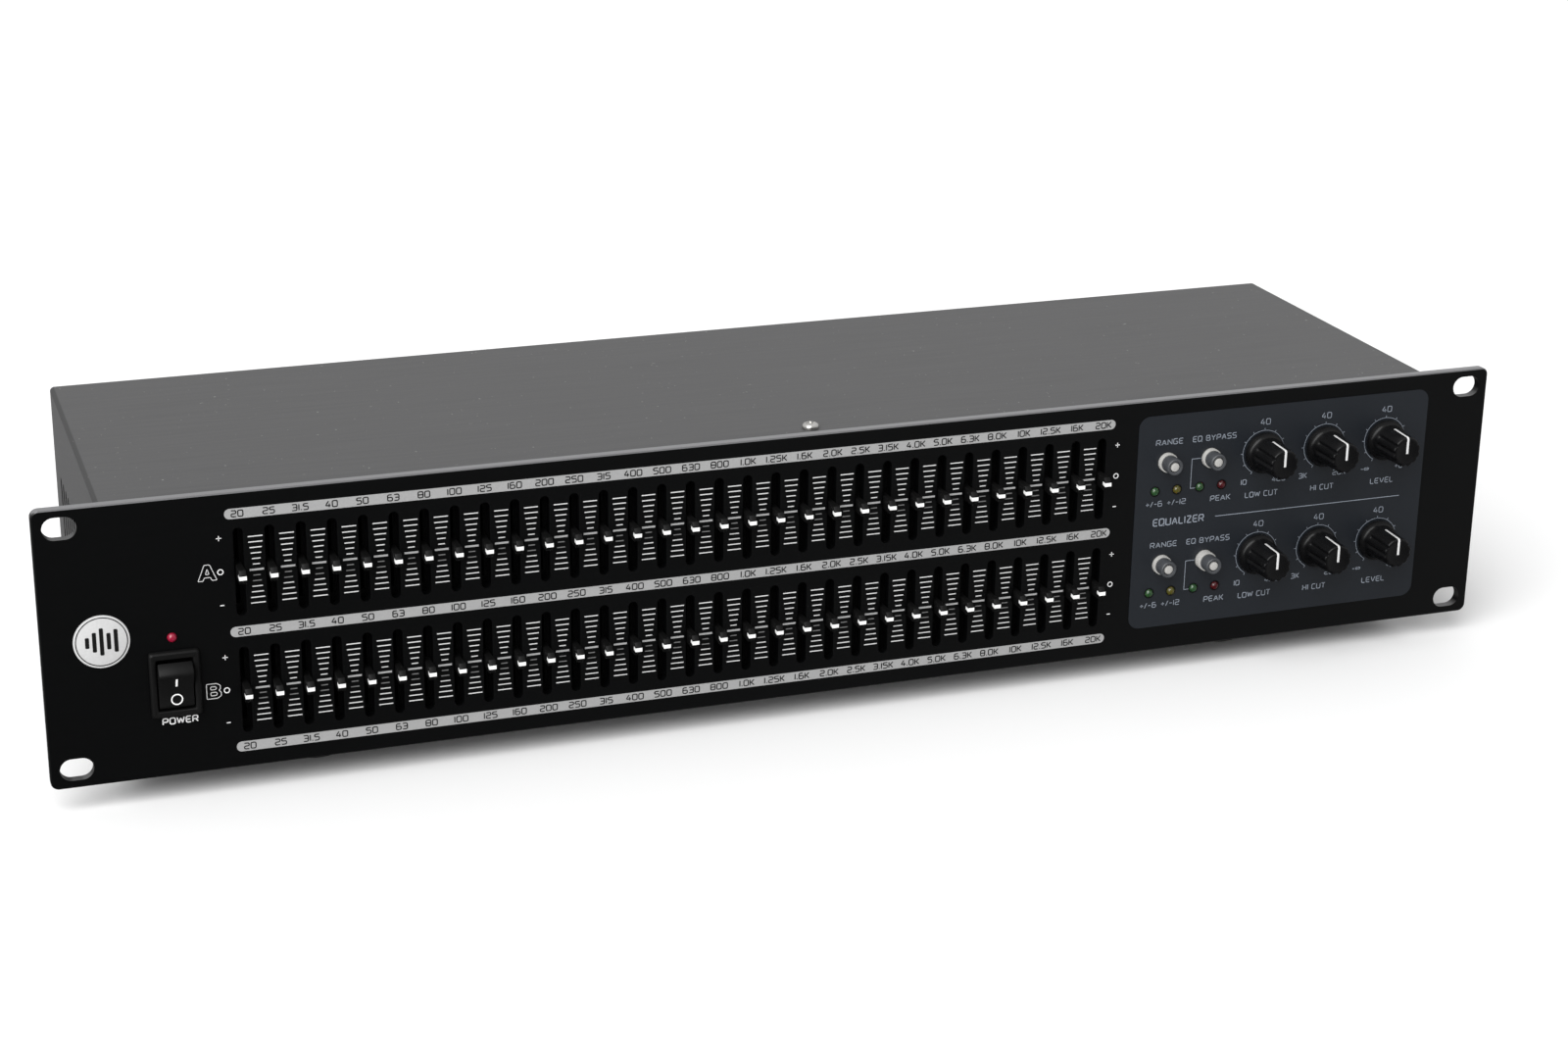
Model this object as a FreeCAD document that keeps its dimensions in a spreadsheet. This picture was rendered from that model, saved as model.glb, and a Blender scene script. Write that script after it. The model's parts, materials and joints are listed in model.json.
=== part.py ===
"""Two-channel rack graphic equalizer, two rack units high, as an assembly of separate pieces.

Frame: X runs across the front from left to right, Y runs from the front into the rack and Z is up.
The origin is the centre of the four rack slots, on the rear (mounting) face of the front panel.
Lengths are in millimetres and angles in degrees.
"""
import FreeCAD, Part
import os
import re
import Sketcher

Vector = FreeCAD.Vector
Rotation = FreeCAD.Rotation

# Driving dimensions, written to the sheet under these names.
SIZES = {
    # Front panel: a 19 inch plate, two rack units high.
    "panel_width": 482.6,
    "panel_height": 88.1,
    "panel_thick": 3.0,
    "corner_radius": 2.5,
    "edge_chamfer": 0.4,
    "rack_span": 466.7,
    "rack_rise": 76.2,
    "rack_slot_length": 10.0,
    "rack_slot_width": 7.0,
    "stud_radius": 1.5,
    "stud_length": 5.0,
    "stud_rise": 37.2,
    "stud_far_left": -216.0,
    "stud_left": -110.0,
    "stud_middle": -20.0,
    "stud_right": 95.0,
    "stud_far_right": 200.0,
    # Folded steel case behind the panel.
    "case_width": 444.0,
    "case_depth": 125.4,
    "case_height": 83.4,
    "sheet_thick": 1.2,
    "sheet_gap": 0.1,
    "cover_front_gap": 0.3,
    "bend_radius": 1.5,
    "flange_height": 13.0,
    "rear_inset": 0.5,
    "vent_length": 31.0,
    "vent_width": 3.0,
    "vent_pitch": 6.8,
    "vent_count": 8,
    "vent_first": 61.4,
    "top_screw_x": 2.2,
    "top_screw_y": 10.0,
    "tab_width": 16.0,
    "tab_depth": 16.0,
    "side_screw_front": 30.0,
    "side_screw_rear": 95.0,
    "side_screw_drop": 34.0,
    "rear_screw_outer": 214.0,
    "rear_screw_inner": 70.0,
    "rear_screw_rise": 7.5,
    # Screws, nuts and the holes made for them.
    "screw_clearance": 0.1,
    "screw_head_radius": 2.75,
    "screw_head_height": 1.9,
    "top_screw_shank": 3.4,
    "case_screw_shank": 5.0,
    "board_screw_shank": 6.0,
    "foot_screw_shank": 8.0,
    "nut_across": 5.5,
    "nut_thick": 1.8,
    "press_gap": 0.02,
    "drill_length": 4.0,
    # Rubber feet.
    "foot_x": 157.7,
    "foot_front": 24.0,
    "foot_rear": 104.0,
    "foot_height": 10.5,
    "foot_radius": 11.5,
    "foot_taper": 1.0,
    "foot_recess_radius": 5.0,
    "foot_recess_depth": 6.0,
    # Band faders: two rows of slide potentiometers, one lever through each panel slot.
    "band_first": -182.1,
    "band_pitch": 9.35,
    "band_count": 31,
    "row_rise": 18.95,
    "fader_slot_length": 27.8,
    "fader_slot_width": 3.0,
    "cap_width": 2.2,
    "cap_height": 4.4,
    "cap_proud": 6.0,
    "cap_behind": 1.0,
    "lever_width": 1.0,
    "lever_height": 3.0,
    "lever_depth": 8.5,
    "pot_front": 3.0,
    "pot_depth": 7.0,
    "fader_pot_width": 6.8,
    "fader_pot_length": 33.0,
    "fader_track_width": 1.6,
    "fader_track_length": 24.4,
    "fader_track_depth": 6.0,
    # Circuit boards behind the panel, on standoffs.
    "board_thick": 1.6,
    "board_rise": 38.0,
    "standoff_radius": 2.5,
    "board_screw_radius": 1.5,
    "fader_board_left": -194.0,
    "fader_board_right": 109.6,
    "fader_standoff_left": -190.5,
    "fader_standoff_right": 106.5,
    "control_board_left": 110.1,
    "control_board_right": 218.0,
    "control_standoff_left": 113.0,
    "control_standoff_right": 215.3,
    "standoff_rise": 33.5,
    # Windows in the chassis front wall.
    "fader_window_left": -186.8,
    "fader_window_right": 102.9,
    "fader_window_rise": 33.4,
    "control_window_left": 116.0,
    "control_window_right": 212.4,
    "control_window_rise": 30.5,
    "switch_window_left": -212.0,
    "switch_window_right": -194.0,
    "switch_window_bottom": -26.0,
    "switch_window_top": 4.0,
    # Printed overlay around the controls at the right.
    "overlay_left": 111.4,
    "overlay_right": 218.9,
    "overlay_bottom": -35.5,
    "overlay_top": 38.7,
    "overlay_thick": 0.2,
    "overlay_radius": 4.0,
    # Rows and columns of the controls on the overlay.
    "control_row_a": 22.4,
    "control_row_b": -13.4,
    "range_x": 122.4,
    "bypass_x": 138.25,
    "low_cut_x": 157.6,
    "hi_cut_x": 180.4,
    "level_x": 203.2,
    "led_drop": 9.8,
    "led_low_range_x": 118.4,
    "led_high_range_x": 126.4,
    "led_bypass_x": 134.75,
    "led_peak_x": 142.75,
    "led_power_x": -203.1,
    "led_power_z": 0.55,
    # Push buttons, latched in at rest unless stated.
    "button_base_radius": 3.3,
    "button_base_proud": 1.5,
    "button_base_length": 5.1,
    "button_cap_radius": 2.85,
    "button_cap_length": 4.5,
    "button_stem_width": 3.0,
    "button_stem_length": 6.4,
    "button_release": 1.4,
    "button_hole_radius": 3.5,
    "switch_body_width": 7.4,
    "switch_body_front": 3.4,
    "switch_well_width": 3.4,
    "switch_well_depth": 5.6,
    # Light emitting diodes, 3 mm type.
    "led_radius": 1.5,
    "led_proud": 1.2,
    "led_rim_radius": 1.9,
    "led_rim_front": 0.4,
    "led_rim_thick": 1.0,
    "led_leg_width": 0.5,
    "led_leg_spread": 1.27,
    "led_hole_radius": 1.6,
    # Rotary controls and their knobs.
    "knob_gap": 0.3,
    "knob_height": 14.5,
    "skirt_radius": 7.0,
    "skirt_height": 1.6,
    "grip_radius": 5.5,
    "grip_start": 3.4,
    "grip_taper": 0.4,
    "grip_edge": 0.6,
    "flute_radius": 1.0,
    "flute_offset": 5.9,
    "flute_start": 60.0,
    "flute_sweep": 240.0,
    "flute_count": 9,
    "shaft_radius": 3.0,
    "shaft_reach": 10.0,
    "shaft_end": 4.6,
    "bore_gap": 0.05,
    "bushing_radius": 3.5,
    "bushing_front": 2.5,
    "shaft_hole_radius": 3.6,
    "rotary_width": 9.8,
    "rotary_height": 11.0,
    "rotary_bore_depth": 2.0,
    # Power rocker switch.
    "rocker_x": -203.0,
    "rocker_z": -14.0,
    "rocker_pivot_y": -1.65,
    "rocker_radius": 8.0,
    "rocker_throw": 30.0,
    "rocker_valley": 3.8,
    "rocker_back": 1.4,
    "rocker_width": 10.4,
    "rocker_hub": 2.2,
    "trunnion_radius": 1.2,
    "trunnion_tip": 5.9,
    "trunnion_gap": 0.1,
    "bezel_width": 15.0,
    "bezel_height": 21.0,
    "bezel_proud": 2.0,
    "bezel_chamfer": 0.8,
    "housing_width": 12.8,
    "housing_height": 18.6,
    "housing_back": 14.0,
    "cavity_width": 11.0,
    "cavity_height": 16.3,
    "cavity_back": 4.0,
    "terminal_width": 4.8,
    "terminal_thick": 0.8,
    "terminal_length": 8.0,
    "terminal_pitch": 6.0,
    "switch_cutout_gap": 0.2,
    # Connectors on the rear panel.
    "inlet_x": -186.0,
    "inlet_flange_width": 31.0,
    "inlet_flange_height": 42.0,
    "inlet_flange_thick": 2.2,
    "inlet_body_width": 27.0,
    "inlet_body_height": 36.0,
    "inlet_body_depth": 24.0,
    "inlet_gap": 0.2,
    "inlet_recess_width": 24.4,
    "inlet_recess_height": 16.4,
    "inlet_recess_depth": 16.0,
    "inlet_recess_z": 7.0,
    "inlet_blade_width": 2.0,
    "inlet_blade_height": 4.0,
    "inlet_blade_length": 14.0,
    "inlet_blade_pitch": 7.0,
    "inlet_blade_rise": 2.0,
    "fuse_drawer_height": 9.0,
    "fuse_drawer_drop": 11.0,
    "fuse_drawer_proud": 1.2,
    "socket_first_x": 60.0,
    "socket_pitch": 42.0,
    "socket_flange_width": 26.0,
    "socket_flange_height": 31.0,
    "socket_flange_thick": 1.8,
    "socket_shell_radius": 11.8,
    "socket_shell_depth": 24.0,
    "socket_hole_radius": 12.0,
    "plug_recess_radius": 8.3,
    "plug_recess_depth": 12.0,
    "plug_pin_radius": 1.2,
    "plug_pin_circle": 4.6,
    "plug_pin_length": 10.0,
    "sleeve_outer_radius": 9.6,
    "sleeve_inner_radius": 7.9,
    "sleeve_depth": 11.0,
    # Power supply on the chassis floor.
    "core_x": -160.0,
    "core_y": 64.0,
    "core_radius": 36.0,
    "core_hole_radius": 12.0,
    "core_height": 34.0,
    "core_round": 6.0,
    "disc_radius": 24.0,
    "disc_thick": 2.0,
    "core_bolt_grip": 5.0,
    "supply_left": -108.0,
    "supply_right": -8.0,
    "supply_front": 34.0,
    "supply_rear": 110.0,
    "supply_standoff_height": 6.0,
    "supply_inset": 5.0,
    "capacitor_radius": 8.0,
    "capacitor_height": 26.0,
    "capacitor_pitch": 19.0,
    "capacitor_inset_x": 20.0,
    "capacitor_inset_y": 22.0,
    "heatsink_width": 60.0,
    "heatsink_thick": 3.0,
    "heatsink_height": 26.0,
    "heatsink_inset": 20.0,
}

BANDS = ("20 25 31_5 40 50 63 80 100 125 160 200 250 315 400 500 630 800 1k 1k25 1k6 2k 2k5 3k15 "
         "4k 5k 6k3 8k 10k 12k5 16k 20k").split()

# Expressions for planes that several pieces share.
PANEL_FRONT = "-panel_thick"
OVERLAY_FRONT = "-panel_thick - overlay_thick"
CASE_TOP = "case_height/2"
CASE_FLOOR = "-case_height/2"
INNER_FLOOR = "-case_height/2 + sheet_thick"
INNER_HALF = "case_width/2 - sheet_thick - sheet_gap"
INNER_TOP = "case_height/2 - sheet_thick - sheet_gap"
REAR_FACE = "case_depth - rear_inset"
REAR_BACK = "case_depth - rear_inset - sheet_thick"
BOARD_FRONT = "pot_front + pot_depth"
BOARD_BACK = "pot_front + pot_depth + board_thick"
SUPPLY_TOP = "-case_height/2 + sheet_thick + supply_standoff_height + board_thick"
SCREW_HOLE = "board_screw_radius + screw_clearance"

CONTROL_ROWS = {"a": "control_row_a", "b": "control_row_b"}
KNOB_COLUMNS = {"low_cut": "low_cut_x", "hi_cut": "hi_cut_x", "level": "level_x"}
BUTTON_COLUMNS = {"range": "range_x", "bypass": "bypass_x"}
LED_COLUMNS = ["led_low_range_x", "led_high_range_x", "led_bypass_x", "led_peak_x"]
STUD_COLUMNS = ["stud_far_left", "stud_left", "stud_middle", "stud_right", "stud_far_right"]
RELEASED_BUTTON = ("bypass", "b")

doc = FreeCAD.newDocument("GraphicEqualizer")
sheet = doc.addObject("Spreadsheet::Sheet", "Sizes")
for row, (alias, number) in enumerate(SIZES.items(), start=1):
    sheet.set("A%d" % row, alias)
    sheet.set("B%d" % row, str(number))
    sheet.setAlias("B%d" % row, alias)
doc.recompute()

pieces = []


# ---------------------------------------------------------------- shared helpers

def bound(expression):
    """An expression written with bare size names, as one that reads the sheet."""
    return re.sub(r"[a-z_]\w*", lambda name: "Sizes." + name[0] if name[0] in SIZES else name[0], expression)


def number_of(expression):
    """The present value of an expression of size names."""
    return float(sheet.evalExpression(expression))


def keep(piece, label):
    """Name a finished sub-part, which also names its file."""
    piece.Label = label
    pieces.append(piece)
    return piece


def bind(item, **expressions):
    """Bind properties of an object to expressions of size names."""
    for name, expression in expressions.items():
        item.setExpression(name, bound(expression))
    return item


def place(item, x, y, z):
    """Bind an object's position."""
    for axis, expression in zip("xyz", (x, y, z)):
        item.setExpression("Placement.Base." + axis, bound(expression))
    return item


def block(x, y, z):
    """A box given as three (low, high) pairs of expressions."""
    box = doc.addObject("Part::Box", "Block")
    for name, (low, high) in zip(("Length", "Width", "Height"), (x, y, z)):
        bind(box, **{name: "(%s) - (%s)" % (high, low)})
    return place(box, x[0], y[0], z[0])


def centred(middle, size):
    """The (low, high) pair of a span given by its middle and size."""
    return ("(%s) - (%s)/2" % (middle, size), "(%s) + (%s)/2" % (middle, size))


TURNS = {
    "x": Rotation(Vector(0, 1, 0), 90),
    "y": Rotation(Vector(1, 0, 0), -90),
    "z": Rotation(),
}


def rod(axis, x, y, z, radius, length):
    """A cylinder that starts at x, y, z and runs along the positive axis."""
    cylinder = doc.addObject("Part::Cylinder", "Rod")
    cylinder.Placement = FreeCAD.Placement(Vector(), TURNS[axis])
    bind(cylinder, Radius=radius, Height=length)
    return place(cylinder, x, y, z)


def hex_nut(x, y, z, across, thick):
    """A hexagonal prism along Y, without its thread."""
    nut = doc.addObject("Part::Prism", "Nut")
    nut.Polygon = 6
    nut.Placement = FreeCAD.Placement(Vector(), TURNS["y"])
    bind(nut, Circumradius="(%s)/2/cos(30)" % across, Height=thick)
    return place(nut, x, y, z)


def fused(*items):
    """One solid from touching or overlapping ones."""
    union = doc.addObject("Part::MultiFuse", "Fused")
    union.Shapes = list(items)
    union.Refine = True
    return union


def grouped(*items):
    """Separate solids kept together."""
    compound = doc.addObject("Part::Compound", "Grouped")
    compound.Links = list(items)
    return compound


def carved(base, *tools):
    """A solid with the tools cut out of it, checked to have lost volume."""
    cut = doc.addObject("Part::Cut", "Carved")
    cut.Base = base
    cut.Tool = tools[0] if len(tools) == 1 else grouped(*tools)
    doc.recompute()
    if cut.Shape.Volume >= base.Shape.Volume - 1e-6:
        raise RuntimeError("a cut removed nothing from " + base.Label)
    return cut


def body_of(label):
    """An empty PartDesign body that may hold separate solids."""
    body = doc.addObject("PartDesign::Body", label)
    body.AllowCompound = True
    return keep(body, label)


def sketch_on(body, role, offset="0"):
    """A sketch on one of the body's own origin planes, moved along the plane's normal."""
    sketch = body.newObject("Sketcher::SketchObject", "Sketch")
    support = next(item for item in body.Origin.OriginFeatures if item.Role == role)
    sketch.AttachmentSupport = [(support, "")]
    sketch.MapMode = "FlatFace"
    sketch.setExpression("AttachmentOffset.Base.z", bound(offset))
    return sketch


def dimension(sketch, kind, references, expression):
    """Add a dimension to a sketch and bind it."""
    index = sketch.addConstraint(Sketcher.Constraint(kind, *references, number_of(expression)))
    sketch.setExpression("Constraints[%d]" % index, bound(expression))


def outline(sketch, points):
    """A closed outline of straight lines through points given as pairs of expressions."""
    corners = [Vector(number_of(x), number_of(y), 0) for x, y in points]
    count = len(corners)
    lines = [Part.LineSegment(corners[i], corners[(i + 1) % count]) for i in range(count)]
    first = sketch.addGeometry(lines, False)[0]
    for i, (x, y) in enumerate(points):
        sketch.addConstraint(Sketcher.Constraint("Coincident", first + i, 2, first + (i + 1) % count, 1))
        dimension(sketch, "DistanceX", (-1, 1, first + i, 1), x)
        dimension(sketch, "DistanceY", (-1, 1, first + i, 1), y)


def rectangle(sketch, x, y, width, height):
    """A rectangle about its centre."""
    left, right = centred(x, width)
    low, high = centred(y, height)
    outline(sketch, [(left, low), (right, low), (right, high), (left, high)])


def circle(sketch, x, y, radius):
    """A circle about its centre."""
    centre = Vector(number_of(x), number_of(y), 0)
    index = sketch.addGeometry(Part.Circle(centre, Vector(0, 0, 1), number_of(radius)), False)
    dimension(sketch, "DistanceX", (-1, 1, index, 3), x)
    dimension(sketch, "DistanceY", (-1, 1, index, 3), y)
    dimension(sketch, "Radius", (index,), radius)


def rounded_slot(sketch, x, y, length, width, upright):
    """A slot with round ends about its centre, lying along the sketch's X, or its Y if upright."""
    radius = number_of(width) / 2
    reach = number_of(length) / 2 - radius
    centre = Vector(number_of(x), number_of(y), 0)
    along, across = Vector(1, 0, 0), Vector(0, 1, 0)
    if upright:
        along, across = across, along * -1
    ends = [centre + along * reach, centre - along * reach]
    sides = [across * radius, across * -radius]
    arcs = [Part.Arc(end + sides[1 - i], end + along * radius * (1 - 2 * i), end + sides[i])
            for i, end in enumerate(ends)]
    lines = [Part.LineSegment(ends[i] + sides[i], ends[1 - i] + sides[i]) for i in range(2)]
    first = sketch.addGeometry([arcs[0], lines[0], arcs[1], lines[1]], False)[0]
    for i in range(4):
        sketch.addConstraint(Sketcher.Constraint("Tangent", first + i, 2, first + (i + 1) % 4, 1))
    sketch.addConstraint(Sketcher.Constraint("Equal", first, first + 2))
    sketch.addConstraint(Sketcher.Constraint("Vertical" if upright else "Horizontal", first + 1))
    reach_text = "(%s)/2 - (%s)/2" % (length, width)
    far_x = x if upright else "(%s) + %s" % (x, reach_text)
    far_y = "(%s) + %s" % (y, reach_text) if upright else y
    dimension(sketch, "DistanceX", (-1, 1, first, 3), far_x)
    dimension(sketch, "DistanceY", (-1, 1, first, 3), far_y)
    kind = "DistanceY" if upright else "DistanceX"
    dimension(sketch, kind, (first + 2, 3, first, 3), "(%s) - (%s)" % (length, width))
    dimension(sketch, "Radius", (first,), "(%s)/2" % width)


def pad(body, sketch, length, reverse=False, symmetric=False):
    """Extrude a sketch along its normal, or against it, or to both sides."""
    feature = body.newObject("PartDesign::Pad", "Pad")
    feature.Profile = sketch
    feature.Reversed = reverse
    feature.SideType = "Symmetric" if symmetric else "One side"
    bind(feature, Length=length)
    doc.recompute()
    return feature


def pocket(body, sketch, length, reverse=False, symmetric=False):
    """Cut a sketch into its body, checked to have removed material."""
    before = body.Shape.Volume
    feature = body.newObject("PartDesign::Pocket", "Pocket")
    feature.Profile = sketch
    feature.Reversed = reverse
    feature.SideType = "Symmetric" if symmetric else "One side"
    bind(feature, Length=length)
    doc.recompute()
    if body.Shape.Volume >= before - 1e-6:
        raise RuntimeError("a pocket removed nothing from " + body.Label)
    return feature


def pattern(body, features, sketch, pitch, count):
    """Repeat features along a sketch's first axis."""
    feature = body.newObject("PartDesign::LinearPattern", "Pattern")
    feature.Originals = features
    feature.Direction = (sketch, ["H_Axis"])
    feature.Mode = "Spacing"
    bind(feature, Offset=pitch, Occurrences=count)
    body.Tip = feature
    doc.recompute()
    return feature


def edges_where(shape, test):
    """Names of the edges whose end points and middle all pass a test."""
    names = []
    for index, edge in enumerate(shape.Edges, start=1):
        middle = edge.valueAt((edge.FirstParameter + edge.LastParameter) / 2)
        if all(test(point) for point in [middle] + [vertex.Point for vertex in edge.Vertexes]):
            names.append("Edge%d" % index)
    return names


def dress(body, kind, base, edges, prop, size):
    """Fillet or chamfer named edges of a feature."""
    feature = body.newObject("PartDesign::" + kind, kind)
    feature.Base = (base, edges)
    bind(feature, **{prop: size})
    doc.recompute()
    return feature


def upright_corner_edges(shape, half_x, half_z):
    """Edges that run along Y at the four outer corners of a plate."""
    def at_corner(point):
        return abs(abs(point.x) - half_x) < 1e-4 and abs(abs(point.z) - half_z) < 1e-4
    return edges_where(shape, at_corner)


# ---------------------------------------------------------------- front panel and overlay

def control_holes(sketch):
    """Holes for the knobs' bushings, the buttons and the lamps of both channels."""
    for row in CONTROL_ROWS.values():
        for column in KNOB_COLUMNS.values():
            circle(sketch, column, row, "shaft_hole_radius")
        for column in BUTTON_COLUMNS.values():
            circle(sketch, column, row, "button_hole_radius")
        for column in LED_COLUMNS:
            circle(sketch, column, row + " - led_drop", "led_hole_radius")


def make_front_panel():
    """The plate with its rack slots, fader slots, control holes, switch cut-out and weld studs."""
    body = body_of("front_panel")
    face = sketch_on(body, "XZ_Plane")
    rectangle(face, "0", "0", "panel_width", "panel_height")
    plate = pad(body, face, "panel_thick")
    corners = upright_corner_edges(plate.Shape, SIZES["panel_width"] / 2, SIZES["panel_height"] / 2)
    rounded = dress(body, "Fillet", plate, corners, "Radius", "corner_radius")
    rim = edges_where(rounded.Shape, lambda point: abs(point.y + SIZES["panel_thick"]) < 1e-4)
    dress(body, "Chamfer", rounded, rim, "Size", "edge_chamfer")

    rack = sketch_on(body, "XZ_Plane")
    fader = sketch_on(body, "XZ_Plane")
    for side in ("-", ""):
        rounded_slot(rack, "-rack_span/2", side + "rack_rise/2", "rack_slot_length", "rack_slot_width", False)
        rounded_slot(fader, "band_first", side + "row_rise", "fader_slot_length", "fader_slot_width", True)
    ears = pocket(body, rack, "panel_thick + 1", reverse=True)
    pattern(body, [ears], rack, "rack_span", "2")
    column = pocket(body, fader, "panel_thick + 1", reverse=True)
    pattern(body, [column], fader, "band_pitch", "band_count")

    holes = sketch_on(body, "XZ_Plane")
    control_holes(holes)
    circle(holes, "led_power_x", "led_power_z", "led_hole_radius")
    rectangle(holes, "rocker_x", "rocker_z", "housing_width + 2*switch_cutout_gap",
              "housing_height + 2*switch_cutout_gap")
    pocket(body, holes, "panel_thick + 1", reverse=True)

    studs = sketch_on(body, "XZ_Plane")
    for column in STUD_COLUMNS:
        for side in ("-", ""):
            circle(studs, column, side + "stud_rise", "stud_radius")
    pad(body, studs, "stud_length", reverse=True)


def make_control_overlay():
    """The thin printed film that surrounds the rotary controls."""
    body = body_of("control_overlay")
    face = sketch_on(body, "XZ_Plane", "panel_thick")
    outline(face, [("overlay_left", "overlay_bottom"), ("overlay_right", "overlay_bottom"),
                   ("overlay_right", "overlay_top"), ("overlay_left", "overlay_top")])
    film = pad(body, face, "overlay_thick")
    thick = SIZES["overlay_thick"]
    corners = ["Edge%d" % index for index, edge in enumerate(film.Shape.Edges, start=1)
               if abs(edge.Length - thick) < 1e-4]
    dress(body, "Fillet", film, corners, "Radius", "overlay_radius")
    holes = sketch_on(body, "XZ_Plane", "panel_thick")
    control_holes(holes)
    pocket(body, holes, "overlay_thick + 1", reverse=True)


# ---------------------------------------------------------------- case

def make_top_cover():
    """The folded cover: top and both sides in one sheet, with a row of vents in each side."""
    body = body_of("top_cover")
    shell = sketch_on(body, "XZ_Plane", "-case_depth")
    rectangle(shell, "0", "0", "case_width", "case_height")
    solid = pad(body, shell, "case_depth - cover_front_gap")
    half_x, top = SIZES["case_width"] / 2, SIZES["case_height"] / 2
    bends = edges_where(solid.Shape, lambda p: abs(abs(p.x) - half_x) < 1e-4 and abs(p.z - top) < 1e-4)
    dress(body, "Fillet", solid, bends, "Radius", "bend_radius")
    hollow = sketch_on(body, "XZ_Plane")
    inner = "case_width/2 - sheet_thick"
    ceiling = "case_height/2 - sheet_thick"
    outline(hollow, [("-(%s)" % inner, "-case_height"), (inner, "-case_height"),
                     (inner, ceiling), ("-(%s)" % inner, ceiling)])
    pocket(body, hollow, "4*case_depth", symmetric=True)

    vents = sketch_on(body, "YZ_Plane")
    rounded_slot(vents, "vent_first", "0", "vent_length", "vent_width", True)
    pattern(body, [pocket(body, vents, "2*case_width", symmetric=True)], vents, "vent_pitch", "vent_count")

    side_holes = sketch_on(body, "YZ_Plane")
    for column in ("side_screw_front", "side_screw_rear"):
        circle(side_holes, column, "-side_screw_drop", SCREW_HOLE)
    pocket(body, side_holes, "2*case_width", symmetric=True)
    top_hole = sketch_on(body, "XY_Plane", CASE_TOP)
    circle(top_hole, "top_screw_x", "top_screw_y", SCREW_HOLE)
    pocket(body, top_hole, "2*sheet_thick")


def standoff_places():
    """Centres of the board standoffs on the chassis front wall, as pairs of expressions."""
    places = []
    for column in ("fader_standoff_left", "fader_standoff_right",
                   "control_standoff_left", "control_standoff_right"):
        for side in ("-", ""):
            places.append((column, side + "standoff_rise"))
    return places


def supply_corners():
    """Centres of the power board's standoffs on the chassis floor."""
    return [(x, y) for x in ("supply_left + supply_inset", "supply_right - supply_inset")
            for y in ("supply_front + supply_inset", "supply_rear - supply_inset")]


def foot_places():
    """Centres of the four feet."""
    return [(x, y) for x in ("-foot_x", "foot_x") for y in ("foot_front", "foot_rear")]


def rear_screw_places():
    """Screws through the rear panel into the chassis rear flange."""
    columns = ("-rear_screw_outer", "-rear_screw_inner", "rear_screw_inner", "rear_screw_outer")
    return [(x, CASE_FLOOR + " + rear_screw_rise") for x in columns]


def make_chassis_tray():
    """Floor, front wall, low side and rear flanges, and the pressed-in standoffs."""
    across = ("-(%s)" % INNER_HALF, INNER_HALF)
    floor_span = (CASE_FLOOR, INNER_FLOOR)
    flange_span = (CASE_FLOOR, CASE_FLOOR + " + flange_height")
    sheets = [
        block(across, ("0", REAR_BACK), floor_span),
        block(across, ("0", "sheet_thick"), (CASE_FLOOR, INNER_TOP)),
        block(across, (REAR_BACK + " - sheet_thick", REAR_BACK), flange_span),
        block(("-(%s)" % INNER_HALF, "-(%s) + sheet_thick" % INNER_HALF), ("0", REAR_BACK), flange_span),
        block((INNER_HALF + " - sheet_thick", INNER_HALF), ("0", REAR_BACK), flange_span),
        block(centred("top_screw_x", "tab_width"), ("0", "tab_depth"),
              (INNER_TOP + " - sheet_thick", INNER_TOP)),
    ]
    bosses = [rod("y", x, "0", z, "standoff_radius", BOARD_FRONT) for x, z in standoff_places()]
    bosses += [rod("z", x, y, CASE_FLOOR, "standoff_radius", "sheet_thick + supply_standoff_height")
               for x, y in supply_corners()]
    windows = [
        block(("fader_window_left", "fader_window_right"), ("-1", "2*sheet_thick"),
              ("-fader_window_rise", "fader_window_rise")),
        block(("control_window_left", "control_window_right"), ("-1", "2*sheet_thick"),
              ("-control_window_rise", "control_window_rise")),
        block(("switch_window_left", "switch_window_right"), ("-1", "2*sheet_thick"),
              ("switch_window_bottom", "switch_window_top")),
    ]
    holes = [rod("y", x, "-1", z, SCREW_HOLE, BOARD_BACK + " + 1") for x, z in standoff_places()]
    holes += [rod("z", x, y, CASE_FLOOR + " - 1", SCREW_HOLE, "supply_standoff_height + 4")
              for x, y in supply_corners()]
    holes += [rod("z", x, y, CASE_FLOOR + " - 1", SCREW_HOLE, "drill_length") for x, y in foot_places()]
    holes += [rod("y", column, "-1", side + "stud_rise", "stud_radius + screw_clearance", "drill_length")
              for column in STUD_COLUMNS for side in ("-", "")]
    holes += [rod("x", "-case_width", y, "-side_screw_drop", SCREW_HOLE, "2*case_width")
              for y in ("side_screw_front", "side_screw_rear")]
    holes += [rod("y", x, REAR_BACK + " - 3", z, SCREW_HOLE, "drill_length")
              for x, z in rear_screw_places()]
    holes.append(rod("z", "core_x", "core_y", CASE_FLOOR + " - 1", SCREW_HOLE, "drill_length"))
    holes.append(rod("z", "top_screw_x", "top_screw_y", INNER_TOP + " - 3", SCREW_HOLE, "drill_length"))
    keep(carved(fused(*sheets, *bosses), *windows, *holes), "chassis_tray")


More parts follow.
